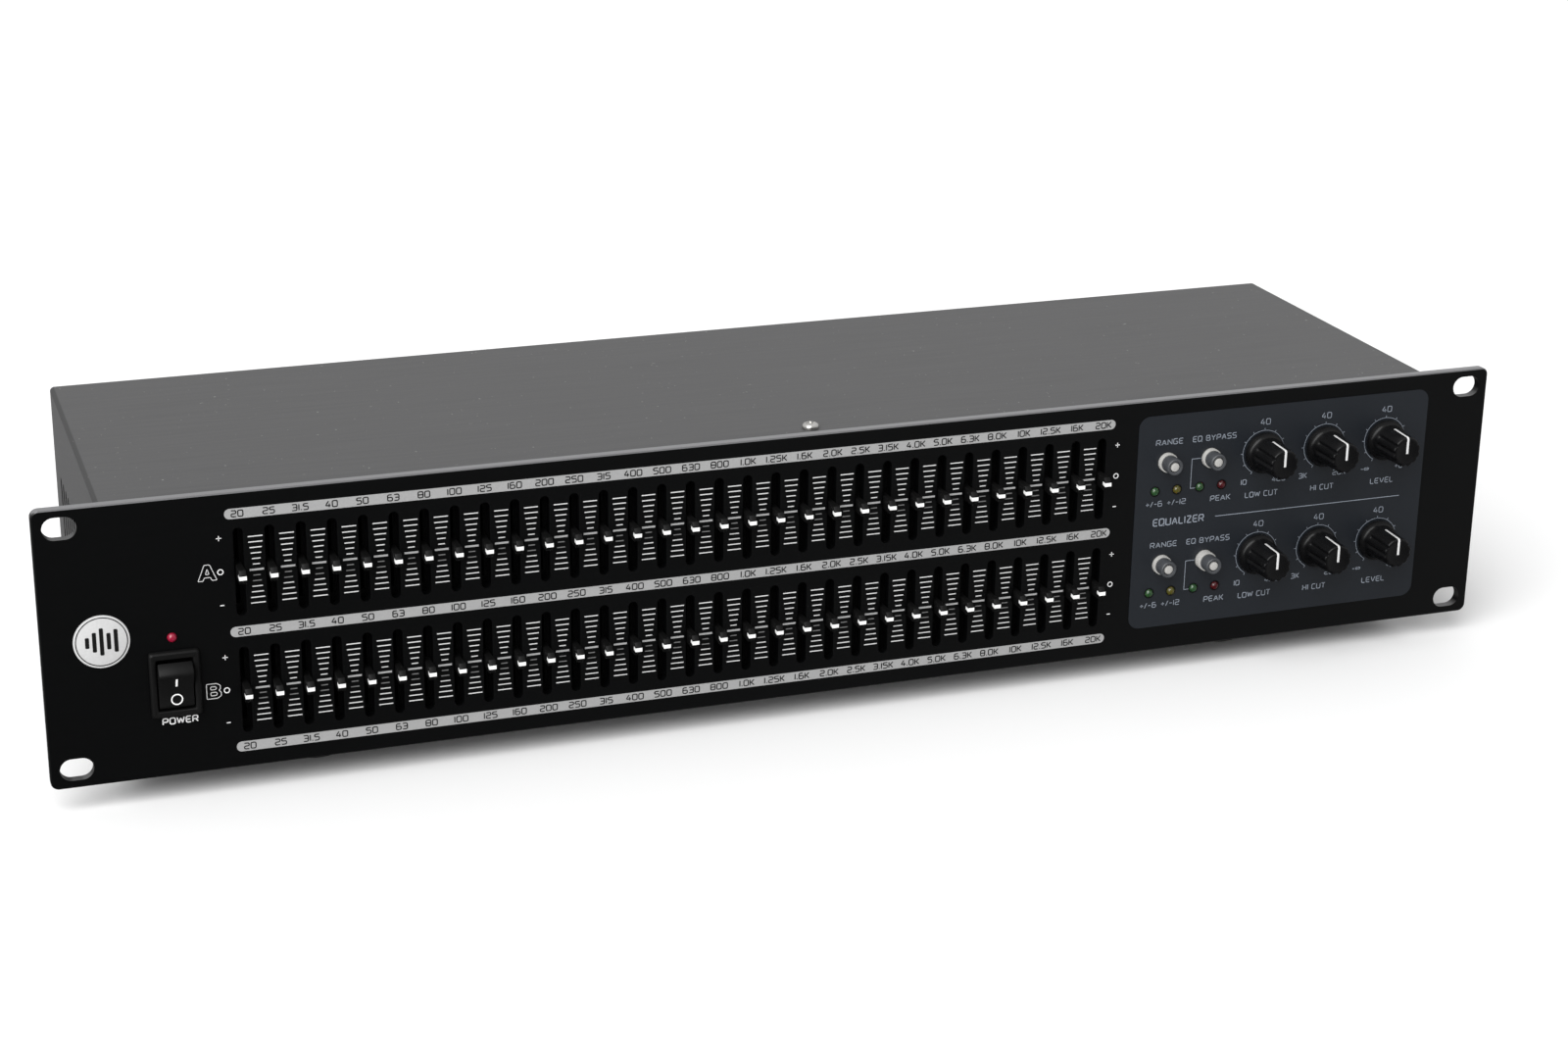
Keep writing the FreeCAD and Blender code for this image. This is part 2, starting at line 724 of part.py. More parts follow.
def make_rear_panel():
    """The plate that carries the connectors, with a stiffening lip along its top."""
    plate = block(("-(%s)" % INNER_HALF, INNER_HALF), (REAR_BACK, REAR_FACE), (CASE_FLOOR, INNER_TOP))
    lip = block(("-(%s) + 2" % INNER_HALF, INNER_HALF + " - 2"), (REAR_BACK + " - flange_height", REAR_FACE),
                (INNER_TOP + " - sheet_thick", INNER_TOP))
    openings = [rod("y", "socket_first_x + %d*socket_pitch" % index, REAR_BACK + " - 1", "0",
                    "socket_hole_radius", "drill_length") for index in range(4)]
    openings.append(block(centred("inlet_x", "inlet_body_width + 2*inlet_gap"),
                          (REAR_BACK + " - 1", REAR_FACE + " + 1"),
                          centred("0", "inlet_body_height + 2*inlet_gap")))
    openings += [rod("y", x, REAR_BACK + " - 1", z, SCREW_HOLE, "drill_length")
                 for x, z in rear_screw_places()]
    keep(carved(fused(plate, lip), *openings), "rear_panel")


def make_rubber_feet():
    """Four tapered rubber feet, each with a recess for its screw."""
    feet = []
    for x, y in foot_places():
        cone = doc.addObject("Part::Cone", "Foot")
        bind(cone, Radius1="foot_radius - foot_taper", Radius2="foot_radius", Height="foot_height")
        place(cone, x, y, CASE_FLOOR + " - foot_height")
        sole = CASE_FLOOR + " - foot_height"
        recess = rod("z", x, y, sole + " - 1", "foot_recess_radius", "foot_recess_depth + 1")
        hole = rod("z", x, y, sole, SCREW_HOLE, "foot_height + 1")
        feet.append(carved(cone, fused(recess, hole)))
    keep(grouped(*feet), "rubber_feet")


def screw(axis, outward, x, y, z, shank):
    """A pan-head screw seated at x, y, z with its head towards the outward side of the axis."""
    start = {"x": x, "y": y, "z": z}
    head = dict(start)
    if outward > 0:
        start[axis] = "(%s) - (%s)" % (start[axis], shank)
    else:
        head[axis] = "(%s) - screw_head_height" % head[axis]
    return fused(rod(axis, start["x"], start["y"], start["z"], "board_screw_radius", shank),
                 rod(axis, head["x"], head["y"], head["z"], "screw_head_radius", "screw_head_height"))


def make_case_fasteners():
    """Every screw of the case and its boards, the panel's nuts and the transformer's bolt."""
    half = "case_width/2"
    items = [screw("z", 1, "top_screw_x", "top_screw_y", CASE_TOP, "top_screw_shank")]
    for y in ("side_screw_front", "side_screw_rear"):
        items.append(screw("x", -1, "-" + half, y, "-side_screw_drop", "case_screw_shank"))
        items.append(screw("x", 1, half, y, "-side_screw_drop", "case_screw_shank"))
    items += [screw("y", 1, x, REAR_FACE, z, "case_screw_shank") for x, z in rear_screw_places()]
    items += [screw("y", 1, x, BOARD_BACK, z, "board_screw_shank") for x, z in standoff_places()]
    items += [screw("z", 1, x, y, SUPPLY_TOP, "board_screw_shank") for x, y in supply_corners()]
    items += [screw("z", -1, x, y, CASE_FLOOR + " - foot_height + foot_recess_depth", "foot_screw_shank")
              for x, y in foot_places()]
    for column in STUD_COLUMNS:
        for side in ("-", ""):
            rise = side + "stud_rise"
            bore = rod("y", column, "0", rise, "stud_radius + press_gap", "stud_length")
            items.append(carved(hex_nut(column, "sheet_thick", rise, "nut_across", "nut_thick"), bore))
    items.append(screw("z", 1, "core_x", "core_y", INNER_FLOOR + " + core_height + disc_thick",
                       "core_height + core_bolt_grip"))
    keep(grouped(*items), "case_fasteners")


# ---------------------------------------------------------------- faders

def make_fader_pots():
    """The slide potentiometers' housings, one behind each slot, with a track for the lever."""
    body = body_of("fader_pots")
    face = sketch_on(body, "XZ_Plane", "-(%s)" % BOARD_FRONT)
    track = sketch_on(body, "XZ_Plane", "-pot_front")
    for row in ("-row_rise", "row_rise"):
        rectangle(face, "band_first", row, "fader_pot_width", "fader_pot_length")
        rectangle(track, "band_first", row, "fader_track_width", "fader_track_length")
    housing = pad(body, face, "pot_depth")
    groove = pocket(body, track, "fader_track_depth")
    pattern(body, [housing, groove], face, "band_pitch", "band_count")


def make_band_faders(index, name):
    """Both channels' levers of one band, each with its cap, passing through the panel's slots."""
    body = body_of("faders_" + name)
    column = "band_first + %d*band_pitch" % index
    cap = sketch_on(body, "XZ_Plane", "-cap_behind")
    lever = sketch_on(body, "XZ_Plane", "-lever_depth")
    for row in ("-row_rise", "row_rise"):
        rectangle(cap, column, row, "cap_width", "cap_height")
        rectangle(lever, column, row, "lever_width", "lever_height")
    pad(body, cap, "cap_behind + panel_thick + cap_proud")
    pad(body, lever, "lever_depth")


def make_board(label, left, right, places):
    """A circuit board behind the panel, with its screw holes."""
    board = block((left, right), (BOARD_FRONT, BOARD_BACK), ("-board_rise", "board_rise"))
    holes = [rod("y", x, BOARD_FRONT + " - 1", z, SCREW_HOLE, "drill_length") for x, z in places]
    keep(carved(board, *holes), label)


# ---------------------------------------------------------------- buttons, lamps and knobs

def make_button(label, column, row, shift):
    """A push button: wide base, narrower cap and the square stem that works its switch."""
    base_back = "-panel_thick - button_base_proud + button_base_length"
    parts = [
        rod("y", column, "-panel_thick - button_base_proud - (%s)" % shift, row, "button_base_radius",
            "button_base_length"),
        rod("y", column, "-panel_thick - button_base_proud - button_cap_length - (%s)" % shift, row,
            "button_cap_radius", "button_cap_length"),
        block(centred(column, "button_stem_width"),
              (base_back + " - (%s)" % shift, base_back + " + button_stem_length - (%s)" % shift),
              centred(row, "button_stem_width")),
    ]
    keep(fused(*parts), label)


def make_button_switches():
    """The latching switches behind the buttons, each with a square well for the stem."""
    bodies = []
    for row in CONTROL_ROWS.values():
        for column in BUTTON_COLUMNS.values():
            case = block(centred(column, "switch_body_width"), ("switch_body_front", BOARD_FRONT),
                         centred(row, "switch_body_width"))
            well = block(centred(column, "switch_well_width"),
                         ("switch_body_front - 1", "switch_body_front + switch_well_depth"),
                         centred(row, "switch_well_width"))
            bodies.append(carved(case, well))
    keep(grouped(*bodies), "button_switches")


def lamp(column, row, front):
    """A round-nosed diode with its rim and two legs, its nose proud of the given face."""
    nose = doc.addObject("Part::Sphere", "Nose")
    bind(nose, Radius="led_radius")
    place(nose, column, "%s - led_proud + led_radius" % front, row)
    parts = [nose, rod("y", column, "%s - led_proud + led_radius" % front, row, "led_radius",
                       "led_rim_front + led_proud - led_radius - (%s)" % front),
             rod("y", column, "led_rim_front", row, "led_rim_radius", "led_rim_thick")]
    for side in ("-", "+"):
        parts.append(block(centred("%s %s led_leg_spread" % (column, side), "led_leg_width"),
                           ("led_rim_front", BOARD_FRONT), centred(row, "led_leg_width")))
    return fused(*parts)


def make_indicator_leds():
    """Four lamps per channel and the power lamp."""
    lamps = [lamp(column, row + " - led_drop", OVERLAY_FRONT)
             for row in CONTROL_ROWS.values() for column in LED_COLUMNS]
    lamps.append(lamp("led_power_x", "led_power_z", PANEL_FRONT))
    keep(grouped(*lamps), "indicator_leds")


def make_rotary_pots():
    """The rotary potentiometers' housings with their bushings."""
    pots = []
    for row in CONTROL_ROWS.values():
        for column in KNOB_COLUMNS.values():
            case = block(centred(column, "rotary_width"), ("pot_front", BOARD_FRONT),
                         centred(row, "rotary_height"))
            bushing = rod("y", column, "-bushing_front", row, "bushing_radius", "bushing_front + pot_front")
            bore = rod("y", column, "-panel_thick - 1", row, "shaft_radius + bore_gap",
                       "panel_thick + 1 + pot_front + rotary_bore_depth")
            pots.append(carved(fused(case, bushing), bore))
    keep(grouped(*pots), "rotary_pots")


def make_knob(label, column, row):
    """A skirted knob, fluted all round but for its top, and the potentiometer shaft that it is pressed on."""
    body = doc.addObject("PartDesign::Body", "Knob")
    profile = sketch_on(body, "YZ_Plane")
    bore = "shaft_radius + press_gap"
    outline(profile, [
        ("0", bore),
        ("0", "skirt_radius"),
        ("-skirt_height", "skirt_radius"),
        ("-grip_start", "grip_radius"),
        ("-knob_height + grip_edge", "grip_radius - grip_taper"),
        ("-knob_height", "grip_radius - grip_taper - grip_edge"),
        ("-knob_height", "0"),
        ("-shaft_reach", "0"),
        ("-shaft_reach", bore),
    ])
    turned = body.newObject("PartDesign::Revolution", "Turned")
    turned.Profile = profile
    turned.ReferenceAxis = (profile, ["H_Axis"])
    doc.recompute()
    flute = sketch_on(body, "XZ_Plane", "grip_start")
    circle(flute, "-flute_offset*sin(flute_start)", "flute_offset*cos(flute_start)", "flute_radius")
    groove = pocket(body, flute, "knob_height", reverse=True)
    ring = body.newObject("PartDesign::PolarPattern", "Flutes")
    ring.Originals = [groove]
    ring.Axis = (flute, ["N_Axis"])
    bind(ring, Angle="flute_sweep", Occurrences="flute_count")
    body.Tip = ring
    place(body, column, OVERLAY_FRONT + " - knob_gap", row)
    shaft = rod("y", column, OVERLAY_FRONT + " - knob_gap - shaft_reach", row, "shaft_radius",
                "shaft_reach + knob_gap + overlay_thick + panel_thick + shaft_end")
    keep(grouped(body, shaft), label)


# ---------------------------------------------------------------- power switch

def make_rocker_housing():
    """The switch's bezel and housing with the rocker's cavity, and its three terminals."""
    body = doc.addObject("PartDesign::Body", "Bezel")
    face = sketch_on(body, "XZ_Plane", "panel_thick")
    rectangle(face, "0", "0", "bezel_width", "bezel_height")
    plate = pad(body, face, "bezel_proud")
    front = -SIZES["panel_thick"] - SIZES["bezel_proud"]
    rim = edges_where(plate.Shape, lambda point: abs(point.y - front) < 1e-4)
    dress(body, "Chamfer", plate, rim, "Size", "bezel_chamfer")
    place(body, "rocker_x", "0", "rocker_z")
    case = block(centred("rocker_x", "housing_width"), (PANEL_FRONT, "housing_back"),
                 centred("rocker_z", "housing_height"))
    cavity = block(centred("rocker_x", "cavity_width"), ("-panel_thick - bezel_proud - 1", "cavity_back"),
                   centred("rocker_z", "cavity_height"))
    bearing = rod("x", "rocker_x - trunnion_tip - trunnion_gap", "rocker_pivot_y", "rocker_z",
                  "trunnion_radius + trunnion_gap", "2*trunnion_tip + 2*trunnion_gap")
    terminals = []
    for step in (-1, 0, 1):
        terminals.append(block(centred("rocker_x", "terminal_width"),
                               ("housing_back", "housing_back + terminal_length"),
                               centred("rocker_z + %d*terminal_pitch" % step, "terminal_thick")))
    keep(grouped(carved(carved(fused(body, case), cavity), bearing), *terminals), "rocker_housing")


def make_power_rocker():
    """The rocker, modelled level about its pivot and then tipped half its throw, to the off side."""
    body = doc.addObject("PartDesign::Body", "RockerProfile")
    side = sketch_on(body, "YZ_Plane")
    reach = "rocker_radius + 1"
    corner = "-rocker_valley - (%s)*tan(rocker_throw/2)" % reach
    outline(side, [("-rocker_valley", "0"), (corner, reach), ("-rocker_back", reach),
                   ("-rocker_back", "-(%s)" % reach), (corner, "-(%s)" % reach)])
    pad(body, side, "rocker_width", symmetric=True)
    turned = doc.addObject("Part::Common", "Turned")
    turned.Base = body
    turned.Tool = rod("x", "-rocker_width", "0", "0", "rocker_radius", "2*rocker_width")
    hub = block(centred("0", "rocker_width"), ("-rocker_valley + 1", "rocker_hub"),
                centred("0", "2*rocker_hub"))
    pins = rod("x", "-trunnion_tip", "0", "0", "trunnion_radius", "2*trunnion_tip")
    rocker = keep(fused(turned, hub, pins), "power_rocker")
    rocker.Placement = FreeCAD.Placement(Vector(), Rotation(Vector(1, 0, 0), 1))
    place(rocker, "rocker_x", "rocker_pivot_y", "rocker_z")
    bind(rocker, **{"Placement.Rotation.Angle": "rocker_throw/2"})


# ---------------------------------------------------------------- rear connectors and power supply

def make_mains_inlet():
    """The mains inlet with its three blades, and the fuse drawer below the recess."""
    flange = block(centred("inlet_x", "inlet_flange_width"), (REAR_FACE, REAR_FACE + " + inlet_flange_thick"),
                   centred("0", "inlet_flange_height"))
    case = block(centred("inlet_x", "inlet_body_width"), (REAR_FACE + " - inlet_body_depth", REAR_FACE),
                 centred("0", "inlet_body_height"))
    drawer = block(centred("inlet_x", "inlet_recess_width"),
                   (REAR_FACE, REAR_FACE + " + inlet_flange_thick + fuse_drawer_proud"),
                   centred("-fuse_drawer_drop", "fuse_drawer_height"))
    mouth = REAR_FACE + " + inlet_flange_thick"
    bottom = mouth + " - inlet_recess_depth"
    recess = block(centred("inlet_x", "inlet_recess_width"), (bottom, mouth + " + 1"),
                   centred("inlet_recess_z", "inlet_recess_height"))
    blades = []
    for step, side in ((-1, "-"), (0, "+"), (1, "-")):
        blades.append(block(centred("inlet_x + %d*inlet_blade_pitch" % step, "inlet_blade_width"),
                            (bottom, bottom + " + inlet_blade_length"),
                            centred("inlet_recess_z %s inlet_blade_rise" % side, "inlet_blade_height")))
    keep(grouped(carved(fused(flange, case, drawer), recess), *blades), "mains_inlet")


def make_audio_sockets():
    """Two input sockets with a round sleeve gap and two output sockets with three pins."""
    sockets = []
    mouth = REAR_FACE + " + socket_flange_thick"
    for index in range(4):
        x = "socket_first_x + %d*socket_pitch" % index
        shell = fused(block(centred(x, "socket_flange_width"), (REAR_FACE, mouth),
                            centred("0", "socket_flange_height")),
                      rod("y", x, REAR_FACE + " - socket_shell_depth", "0", "socket_shell_radius",
                          "socket_shell_depth"))
        if index % 2:
            bottom = mouth + " - plug_recess_depth"
            recess = rod("y", x, bottom, "0", "plug_recess_radius", "plug_recess_depth + 1")
            sockets.append(carved(shell, recess))
            for turn in (90, 210, 330):
                sockets.append(rod("y", x + " + plug_pin_circle*cos(%d)" % turn, bottom,
                                   "plug_pin_circle*sin(%d)" % turn, "plug_pin_radius", "plug_pin_length"))
        else:
            bottom = mouth + " - sleeve_depth"
            gap = carved(rod("y", x, bottom, "0", "sleeve_outer_radius", "sleeve_depth + 1"),
                         rod("y", x, bottom, "0", "sleeve_inner_radius", "sleeve_depth + 1"))
            sockets.append(carved(shell, gap))
    keep(grouped(*sockets), "audio_sockets")


def make_transformer():
    """A toroidal mains transformer with its clamping disc."""
    body = doc.addObject("PartDesign::Body", "Core")
    profile = sketch_on(body, "XZ_Plane")
    outline(profile, [("core_hole_radius", "0"), ("core_radius", "0"),
                      ("core_radius", "core_height"), ("core_hole_radius", "core_height")])
    turned = body.newObject("PartDesign::Revolution", "Turned")
    turned.Profile = profile
    turned.ReferenceAxis = (profile, ["V_Axis"])
    doc.recompute()
    radius = SIZES["core_radius"]
    rims = [name for name in ("Edge%d" % (i + 1) for i in range(len(turned.Shape.Edges)))
            if turned.Shape.getElement(name).Length > 6 * radius]
    dress(body, "Fillet", turned, rims, "Radius", "core_round")
    place(body, "core_x", "core_y", INNER_FLOOR)
    disc = rod("z", "core_x", "core_y", INNER_FLOOR + " + core_height", "disc_radius", "disc_thick")
    bolt_hole = rod("z", "core_x", "core_y", INNER_FLOOR, SCREW_HOLE, "core_height + 2*disc_thick")
    keep(grouped(body, carved(disc, bolt_hole)), "transformer")


def make_power_board():
    """The supply board with its smoothing capacitors and heat sink."""
    under = SUPPLY_TOP + " - board_thick"
    plate = block(("supply_left", "supply_right"), ("supply_front", "supply_rear"), (under, SUPPLY_TOP))
    holes = [rod("z", x, y, under + " - 1", SCREW_HOLE, "drill_length") for x, y in supply_corners()]
    parts = [carved(plate, *holes)]
    for step in range(4):
        parts.append(rod("z", "supply_left + capacitor_inset_x + %d*capacitor_pitch" % step,
                         "supply_front + capacitor_inset_y", SUPPLY_TOP,
                         "capacitor_radius", "capacitor_height"))
    parts.append(block(centred("(supply_left + supply_right)/2", "heatsink_width"),
                       ("supply_rear - heatsink_inset", "supply_rear - heatsink_inset + heatsink_thick"),
                       (SUPPLY_TOP, SUPPLY_TOP + " + heatsink_height")))
    keep(grouped(*parts), "power_board")


# ---------------------------------------------------------------- build and write

make_front_panel()
make_control_overlay()
make_top_cover()
make_chassis_tray()
make_rear_panel()
make_rubber_feet()
make_case_fasteners()
make_fader_pots()
for band_index, band_name in enumerate(BANDS):
    make_band_faders(band_index, band_name)
make_board("fader_board", "fader_board_left", "fader_board_right", standoff_places()[:4])
make_board("control_board", "control_board_left", "control_board_right", standoff_places()[4:])
for channel, control_row in CONTROL_ROWS.items():
    for knob_name, knob_column in KNOB_COLUMNS.items():
        make_knob("%s_knob_%s" % (knob_name, channel), knob_column, control_row)
    for button_name, button_column in BUTTON_COLUMNS.items():
        released = (button_name, channel) == RELEASED_BUTTON
        make_button("%s_button_%s" % (button_name, channel), button_column, control_row,
                    "button_release" if released else "0")
make_rotary_pots()
make_button_switches()
make_indicator_leds()
make_rocker_housing()
make_power_rocker()
make_mains_inlet()
make_audio_sockets()
make_transformer()
make_power_board()
doc.recompute()

failed = [item.Label for item in doc.Objects if "Invalid" in item.State or "Error" in item.State]
if failed:
    raise RuntimeError("objects that failed to compute: " + ", ".join(failed))
for piece in pieces:
    if piece.Shape.isNull() or not piece.Shape.isValid() or not piece.Shape.Solids:
        raise RuntimeError("no valid solid in " + piece.Label)

os.makedirs("parts", exist_ok=True)
for piece in pieces:
    piece.Shape.exportStep("parts/%s.step" % piece.Label)
print("wrote", len(pieces), "sub-parts")
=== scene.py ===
"""Looks of the two-channel rack graphic equalizer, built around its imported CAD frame.

Lengths are in millimetres, and MM turns them into Blender's metres when a piece is made. X runs across the
front, Y runs from the front into the case and Z is up, as in the CAD frame.
"""
import bmesh
import bpy
import json
import math
from mathutils import Matrix, Vector

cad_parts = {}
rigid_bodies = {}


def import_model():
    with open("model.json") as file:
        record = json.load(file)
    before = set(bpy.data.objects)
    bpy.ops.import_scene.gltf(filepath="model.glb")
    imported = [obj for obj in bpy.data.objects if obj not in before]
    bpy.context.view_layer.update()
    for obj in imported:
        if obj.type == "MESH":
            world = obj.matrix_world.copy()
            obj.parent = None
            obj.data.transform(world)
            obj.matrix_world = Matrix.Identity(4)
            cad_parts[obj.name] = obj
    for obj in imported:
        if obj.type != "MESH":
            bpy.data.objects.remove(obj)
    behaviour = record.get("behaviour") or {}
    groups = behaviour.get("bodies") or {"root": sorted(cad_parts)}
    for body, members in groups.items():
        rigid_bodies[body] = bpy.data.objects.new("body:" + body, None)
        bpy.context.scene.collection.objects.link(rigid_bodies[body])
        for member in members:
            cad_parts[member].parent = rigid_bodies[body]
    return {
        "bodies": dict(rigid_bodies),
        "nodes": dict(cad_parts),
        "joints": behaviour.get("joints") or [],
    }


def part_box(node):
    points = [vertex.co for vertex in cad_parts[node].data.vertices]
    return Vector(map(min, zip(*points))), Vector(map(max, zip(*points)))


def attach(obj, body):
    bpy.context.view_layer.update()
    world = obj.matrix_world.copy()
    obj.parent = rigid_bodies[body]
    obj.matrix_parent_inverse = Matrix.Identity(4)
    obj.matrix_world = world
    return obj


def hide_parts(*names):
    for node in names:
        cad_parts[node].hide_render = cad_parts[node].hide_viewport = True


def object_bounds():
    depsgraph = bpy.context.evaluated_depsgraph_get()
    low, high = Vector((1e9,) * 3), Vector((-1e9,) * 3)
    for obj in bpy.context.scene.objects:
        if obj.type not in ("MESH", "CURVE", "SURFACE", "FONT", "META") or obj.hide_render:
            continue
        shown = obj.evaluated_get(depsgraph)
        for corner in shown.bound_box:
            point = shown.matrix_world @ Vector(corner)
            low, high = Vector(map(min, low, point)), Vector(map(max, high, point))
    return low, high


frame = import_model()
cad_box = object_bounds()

MM = 0.001

# The directions in the frame of a piece's own u, v and w. To someone who looks at that side of the object,
# u runs to the right, v runs up and w points towards them.
FACINGS = {
    "front": ((1, 0, 0), (0, 0, 1), (0, -1, 0)),
    "rear": ((-1, 0, 0), (0, 0, 1), (0, 1, 0)),
    "top": ((1, 0, 0), (0, 1, 0), (0, 0, 1)),
    "bottom": ((1, 0, 0), (0, -1, 0), (0, 0, -1)),
    "left": ((0, -1, 0), (0, 0, 1), (-1, 0, 0)),
    "right": ((0, 1, 0), (0, 0, 1), (1, 0, 0)),
}


# ---- places read from the frame

def box_mm(node):
    """A CAD node's lowest and highest corners in millimetres."""
    low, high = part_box(node)
    return low / MM, high / MM


def solid_points(node):
    """The corner points of each of a CAD node's separate solids, in millimetres."""
    mesh = frame["nodes"][node].data
    keys = [tuple(round(c / MM, 3) for c in vertex.co) for vertex in mesh.vertices]
    parent = {}

    def root(key):
        while parent.setdefault(key, key) != key:
            parent[key] = parent[parent[key]]
            key = parent[key]
        return key

    for polygon in mesh.polygons:
        first = root(keys[polygon.vertices[0]])
        for index in polygon.vertices[1:]:
            parent[root(keys[index])] = first
    islands = {}
    for key in parent:
        islands.setdefault(root(key), []).append(key)
    return [islands[key] for key in sorted(islands)]


def extent(points):
    """The lowest and highest corner of a set of points."""
    low = Vector(min(point[axis] for point in points) for axis in range(3))
    high = Vector(max(point[axis] for point in points) for axis in range(3))
    return low, high


def middle(pair):
    """The centre of a (low, high) pair."""
    return (pair[0] + pair[1]) / 2


def solids_mm(node):
    """The boxes of a CAD node's separate solids, from left to right."""
    return sorted((extent(points) for points in solid_points(node)), key=lambda pair: tuple(middle(pair)))


def tallest_first(node):
    """The boxes of a CAD node's separate solids, from the tallest down."""
    return sorted(solids_mm(node), key=lambda pair: pair[0].z - pair[1].z)


# ---- outlines

def polar(radius, degrees, centre=(0, 0)):
    """The point at a radius and an angle from a centre."""
    turn = math.radians(degrees)
    return centre[0] + radius * math.cos(turn), centre[1] + radius * math.sin(turn)


def arc(centre, radius, start, end, steps):
    """Points along an arc in degrees, both ends included."""
    return [polar(radius, start + (end - start) * step / steps, centre) for step in range(steps + 1)]


def circle(radius, steps=32, centre=(0, 0)):
    """A closed circle."""
    return arc(centre, radius, 0, 360, steps)[:-1]


def rounded(width, height, radius, steps=4, centre=(0, 0)):
    """A closed rectangle with round corners; the radius may be one for each corner, from the top right on."""
    radii = radius if isinstance(radius, tuple) else (radius,) * 4
    points = []
    for index, (side, rise) in enumerate(((1, 1), (-1, 1), (-1, -1), (1, -1))):
        across = centre[0] + side * (width / 2 - radii[index])
        up = centre[1] + rise * (height / 2 - radii[index])
        points += arc((across, up), radii[index], 90 * index, 90 * index + 90, steps)
    return points


def softened(path, radius, closed, steps=3):
    """A path whose corners are replaced by short curves."""
    points = []
    for index, (x, y) in enumerate(path):
        if not closed and index in (0, len(path) - 1):
            points.append((x, y))
            continue
        here = Vector((x, y))
        before = Vector(path[index - 1]) - here
        after = Vector(path[(index + 1) % len(path)]) - here
        cut = min(radius, before.length / 2, after.length / 2)
        start = here + before.normalized() * cut
        end = here + after.normalized() * cut
        for step in range(steps + 1):
            share = step / steps
            points.append(tuple(start * (1 - share) ** 2 + here * 2 * share * (1 - share) + end * share ** 2))
    return points


def mirrored(half):
    """Half of an outline, followed by its reflection about u."""
    return half + [(u, -v) for u, v in reversed(half)]


def moved_left(path, amount, closed=True, least=0.5):
    """A path moved to its left by an amount. Sharp corners move farther, by up to 1 / least of it."""
    points = []
    for index in range(len(path)):
        here = Vector(path[index])
        following = Vector(path[(index + 1) % len(path)])
        before = (here - Vector(path[index - 1])).normalized()
        after = (following - here).normalized()
        if not closed and index == 0:
            before = after
        if not closed and index == len(path) - 1:
            after = before
        normal = Vector((-before.y - after.y, before.x + after.x)).normalized()
        lean = max(least, normal.dot(Vector((-before.y, before.x))))
        points.append(tuple(here + normal * (amount / lean)))
    return points


def level(outline, depth):
    """An outline raised to a depth along w."""
    return [(u, v, depth) for u, v in outline]


def rectangles(rows, centre=(0, 0), steps=4):
    """Rings that are rounded rectangles, one for each (width, height, corner radius, depth)."""
    return [level(rounded(*row[:3], steps, centre), row[3]) for row in rows]


def circles(rows, steps, centre=(0, 0)):
    """Rings that are circles, one for each (radius, depth)."""
    return [level(circle(radius, steps, centre), depth) for radius, depth in rows]


def eased(outline, end, edge, side=1):
    """The rings that round off a rim, where an outline ends at the far (1) or the near (-1) side."""
    insets = ((0, edge), (edge * 0.3, edge * 0.3), (edge, 0))
    rings = [level(moved_left(outline, inset), end - side * back) for inset, back in insets]
    return rings[::side]


# ---- mesh making

class Form:
    """The points and faces of one piece, gathered in millimetres in the frame."""

    def __init__(self, *view):
        self.points = []
        self.faces = []
        self.paints = []
        self.look_from(*view)

    def look_from(self, facing="front", origin=(0, 0, 0), turn=Matrix.Identity(3)):
        """Set the facing, the place and the turn of what is added next."""
        self.axes = [Vector(axis) for axis in FACINGS[facing]]
        self.origin = Vector(origin)
        self.turn = turn

    def add_ring(self, ring):
        """Add points given as u, v and w, and return their numbers."""
        first = len(self.points)
        for point in ring:
            u, v, w = self.turn @ Vector(point)
            self.points.append(self.origin + self.axes[0] * u + self.axes[1] * v + self.axes[2] * w)
        return list(range(first, first + len(ring)))

    def loft(self, rings, paint=0, capped=True):
        """Skin a list of closed rings of points, and close its ends if capped."""
        loops = [self.add_ring(ring) for ring in rings]
        count = len(self.faces)
        for low, high in zip(loops, loops[1:]):
            self.faces += zip(low, low[1:] + low[:1], high[1:] + high[:1], high)
        if capped:
            self.faces += [loops[0][::-1], loops[-1]]
        self.paints += [paint] * (len(self.faces) - count)

    def lathe(self, profile, steps=48, paint=0):
        """Turn a profile of (radius, w) pairs about w."""
        self.loft(circles(profile, steps), paint)

    def prism(self, outline, low, high, edge=0.0, paint=0):
        """A prism whose front rim may be rounded off by an edge."""
        rim = eased(outline, high, edge) if edge else [level(outline, high)]
        self.loft([level(outline, low)] + rim, paint)

    def slab(self, outline, half, edge):
        """A prism from -half to half whose two rims are rounded off."""
        self.loft(eased(outline, -half, edge, -1) + eased(outline, half, edge))

    def ribbon(self, path, width, low, high, closed=False, paint=0):
        """A flat stroke of even width that follows a path."""
        sides = [moved_left(path, side * width / 2, closed, 0.6) for side in (1, -1)]
        rings = [[(*left, high), (*right, high), (*right, low), (*left, low)] for left, right in zip(*sides)]
        self.loft(rings + rings[:1] * closed, paint, not closed)

    def piece(self, name, materials, node=None, smooth=35):
        """Make the Blender object. It stands for a node if one is named, and rides where that node rides."""
        mesh = bpy.data.meshes.new(name)
        mesh.from_pydata([point * MM for point in self.points], [], self.faces)
        for material in materials:
            mesh.materials.append(material)
        mesh.polygons.foreach_set("material_index", self.paints)
        weld(mesh)
        mesh.shade_smooth()
        mesh.set_sharp_from_angle(angle=math.radians(smooth))
        item = placed_object(name, mesh)
        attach(item, node if node in frame["bodies"] else "chassis")
        if node:
            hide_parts(node)


def placed_object(name, data):
    """A new object of the scene."""
    item = bpy.data.objects.new(name, data)
    bpy.context.scene.collection.objects.link(item)
    return item


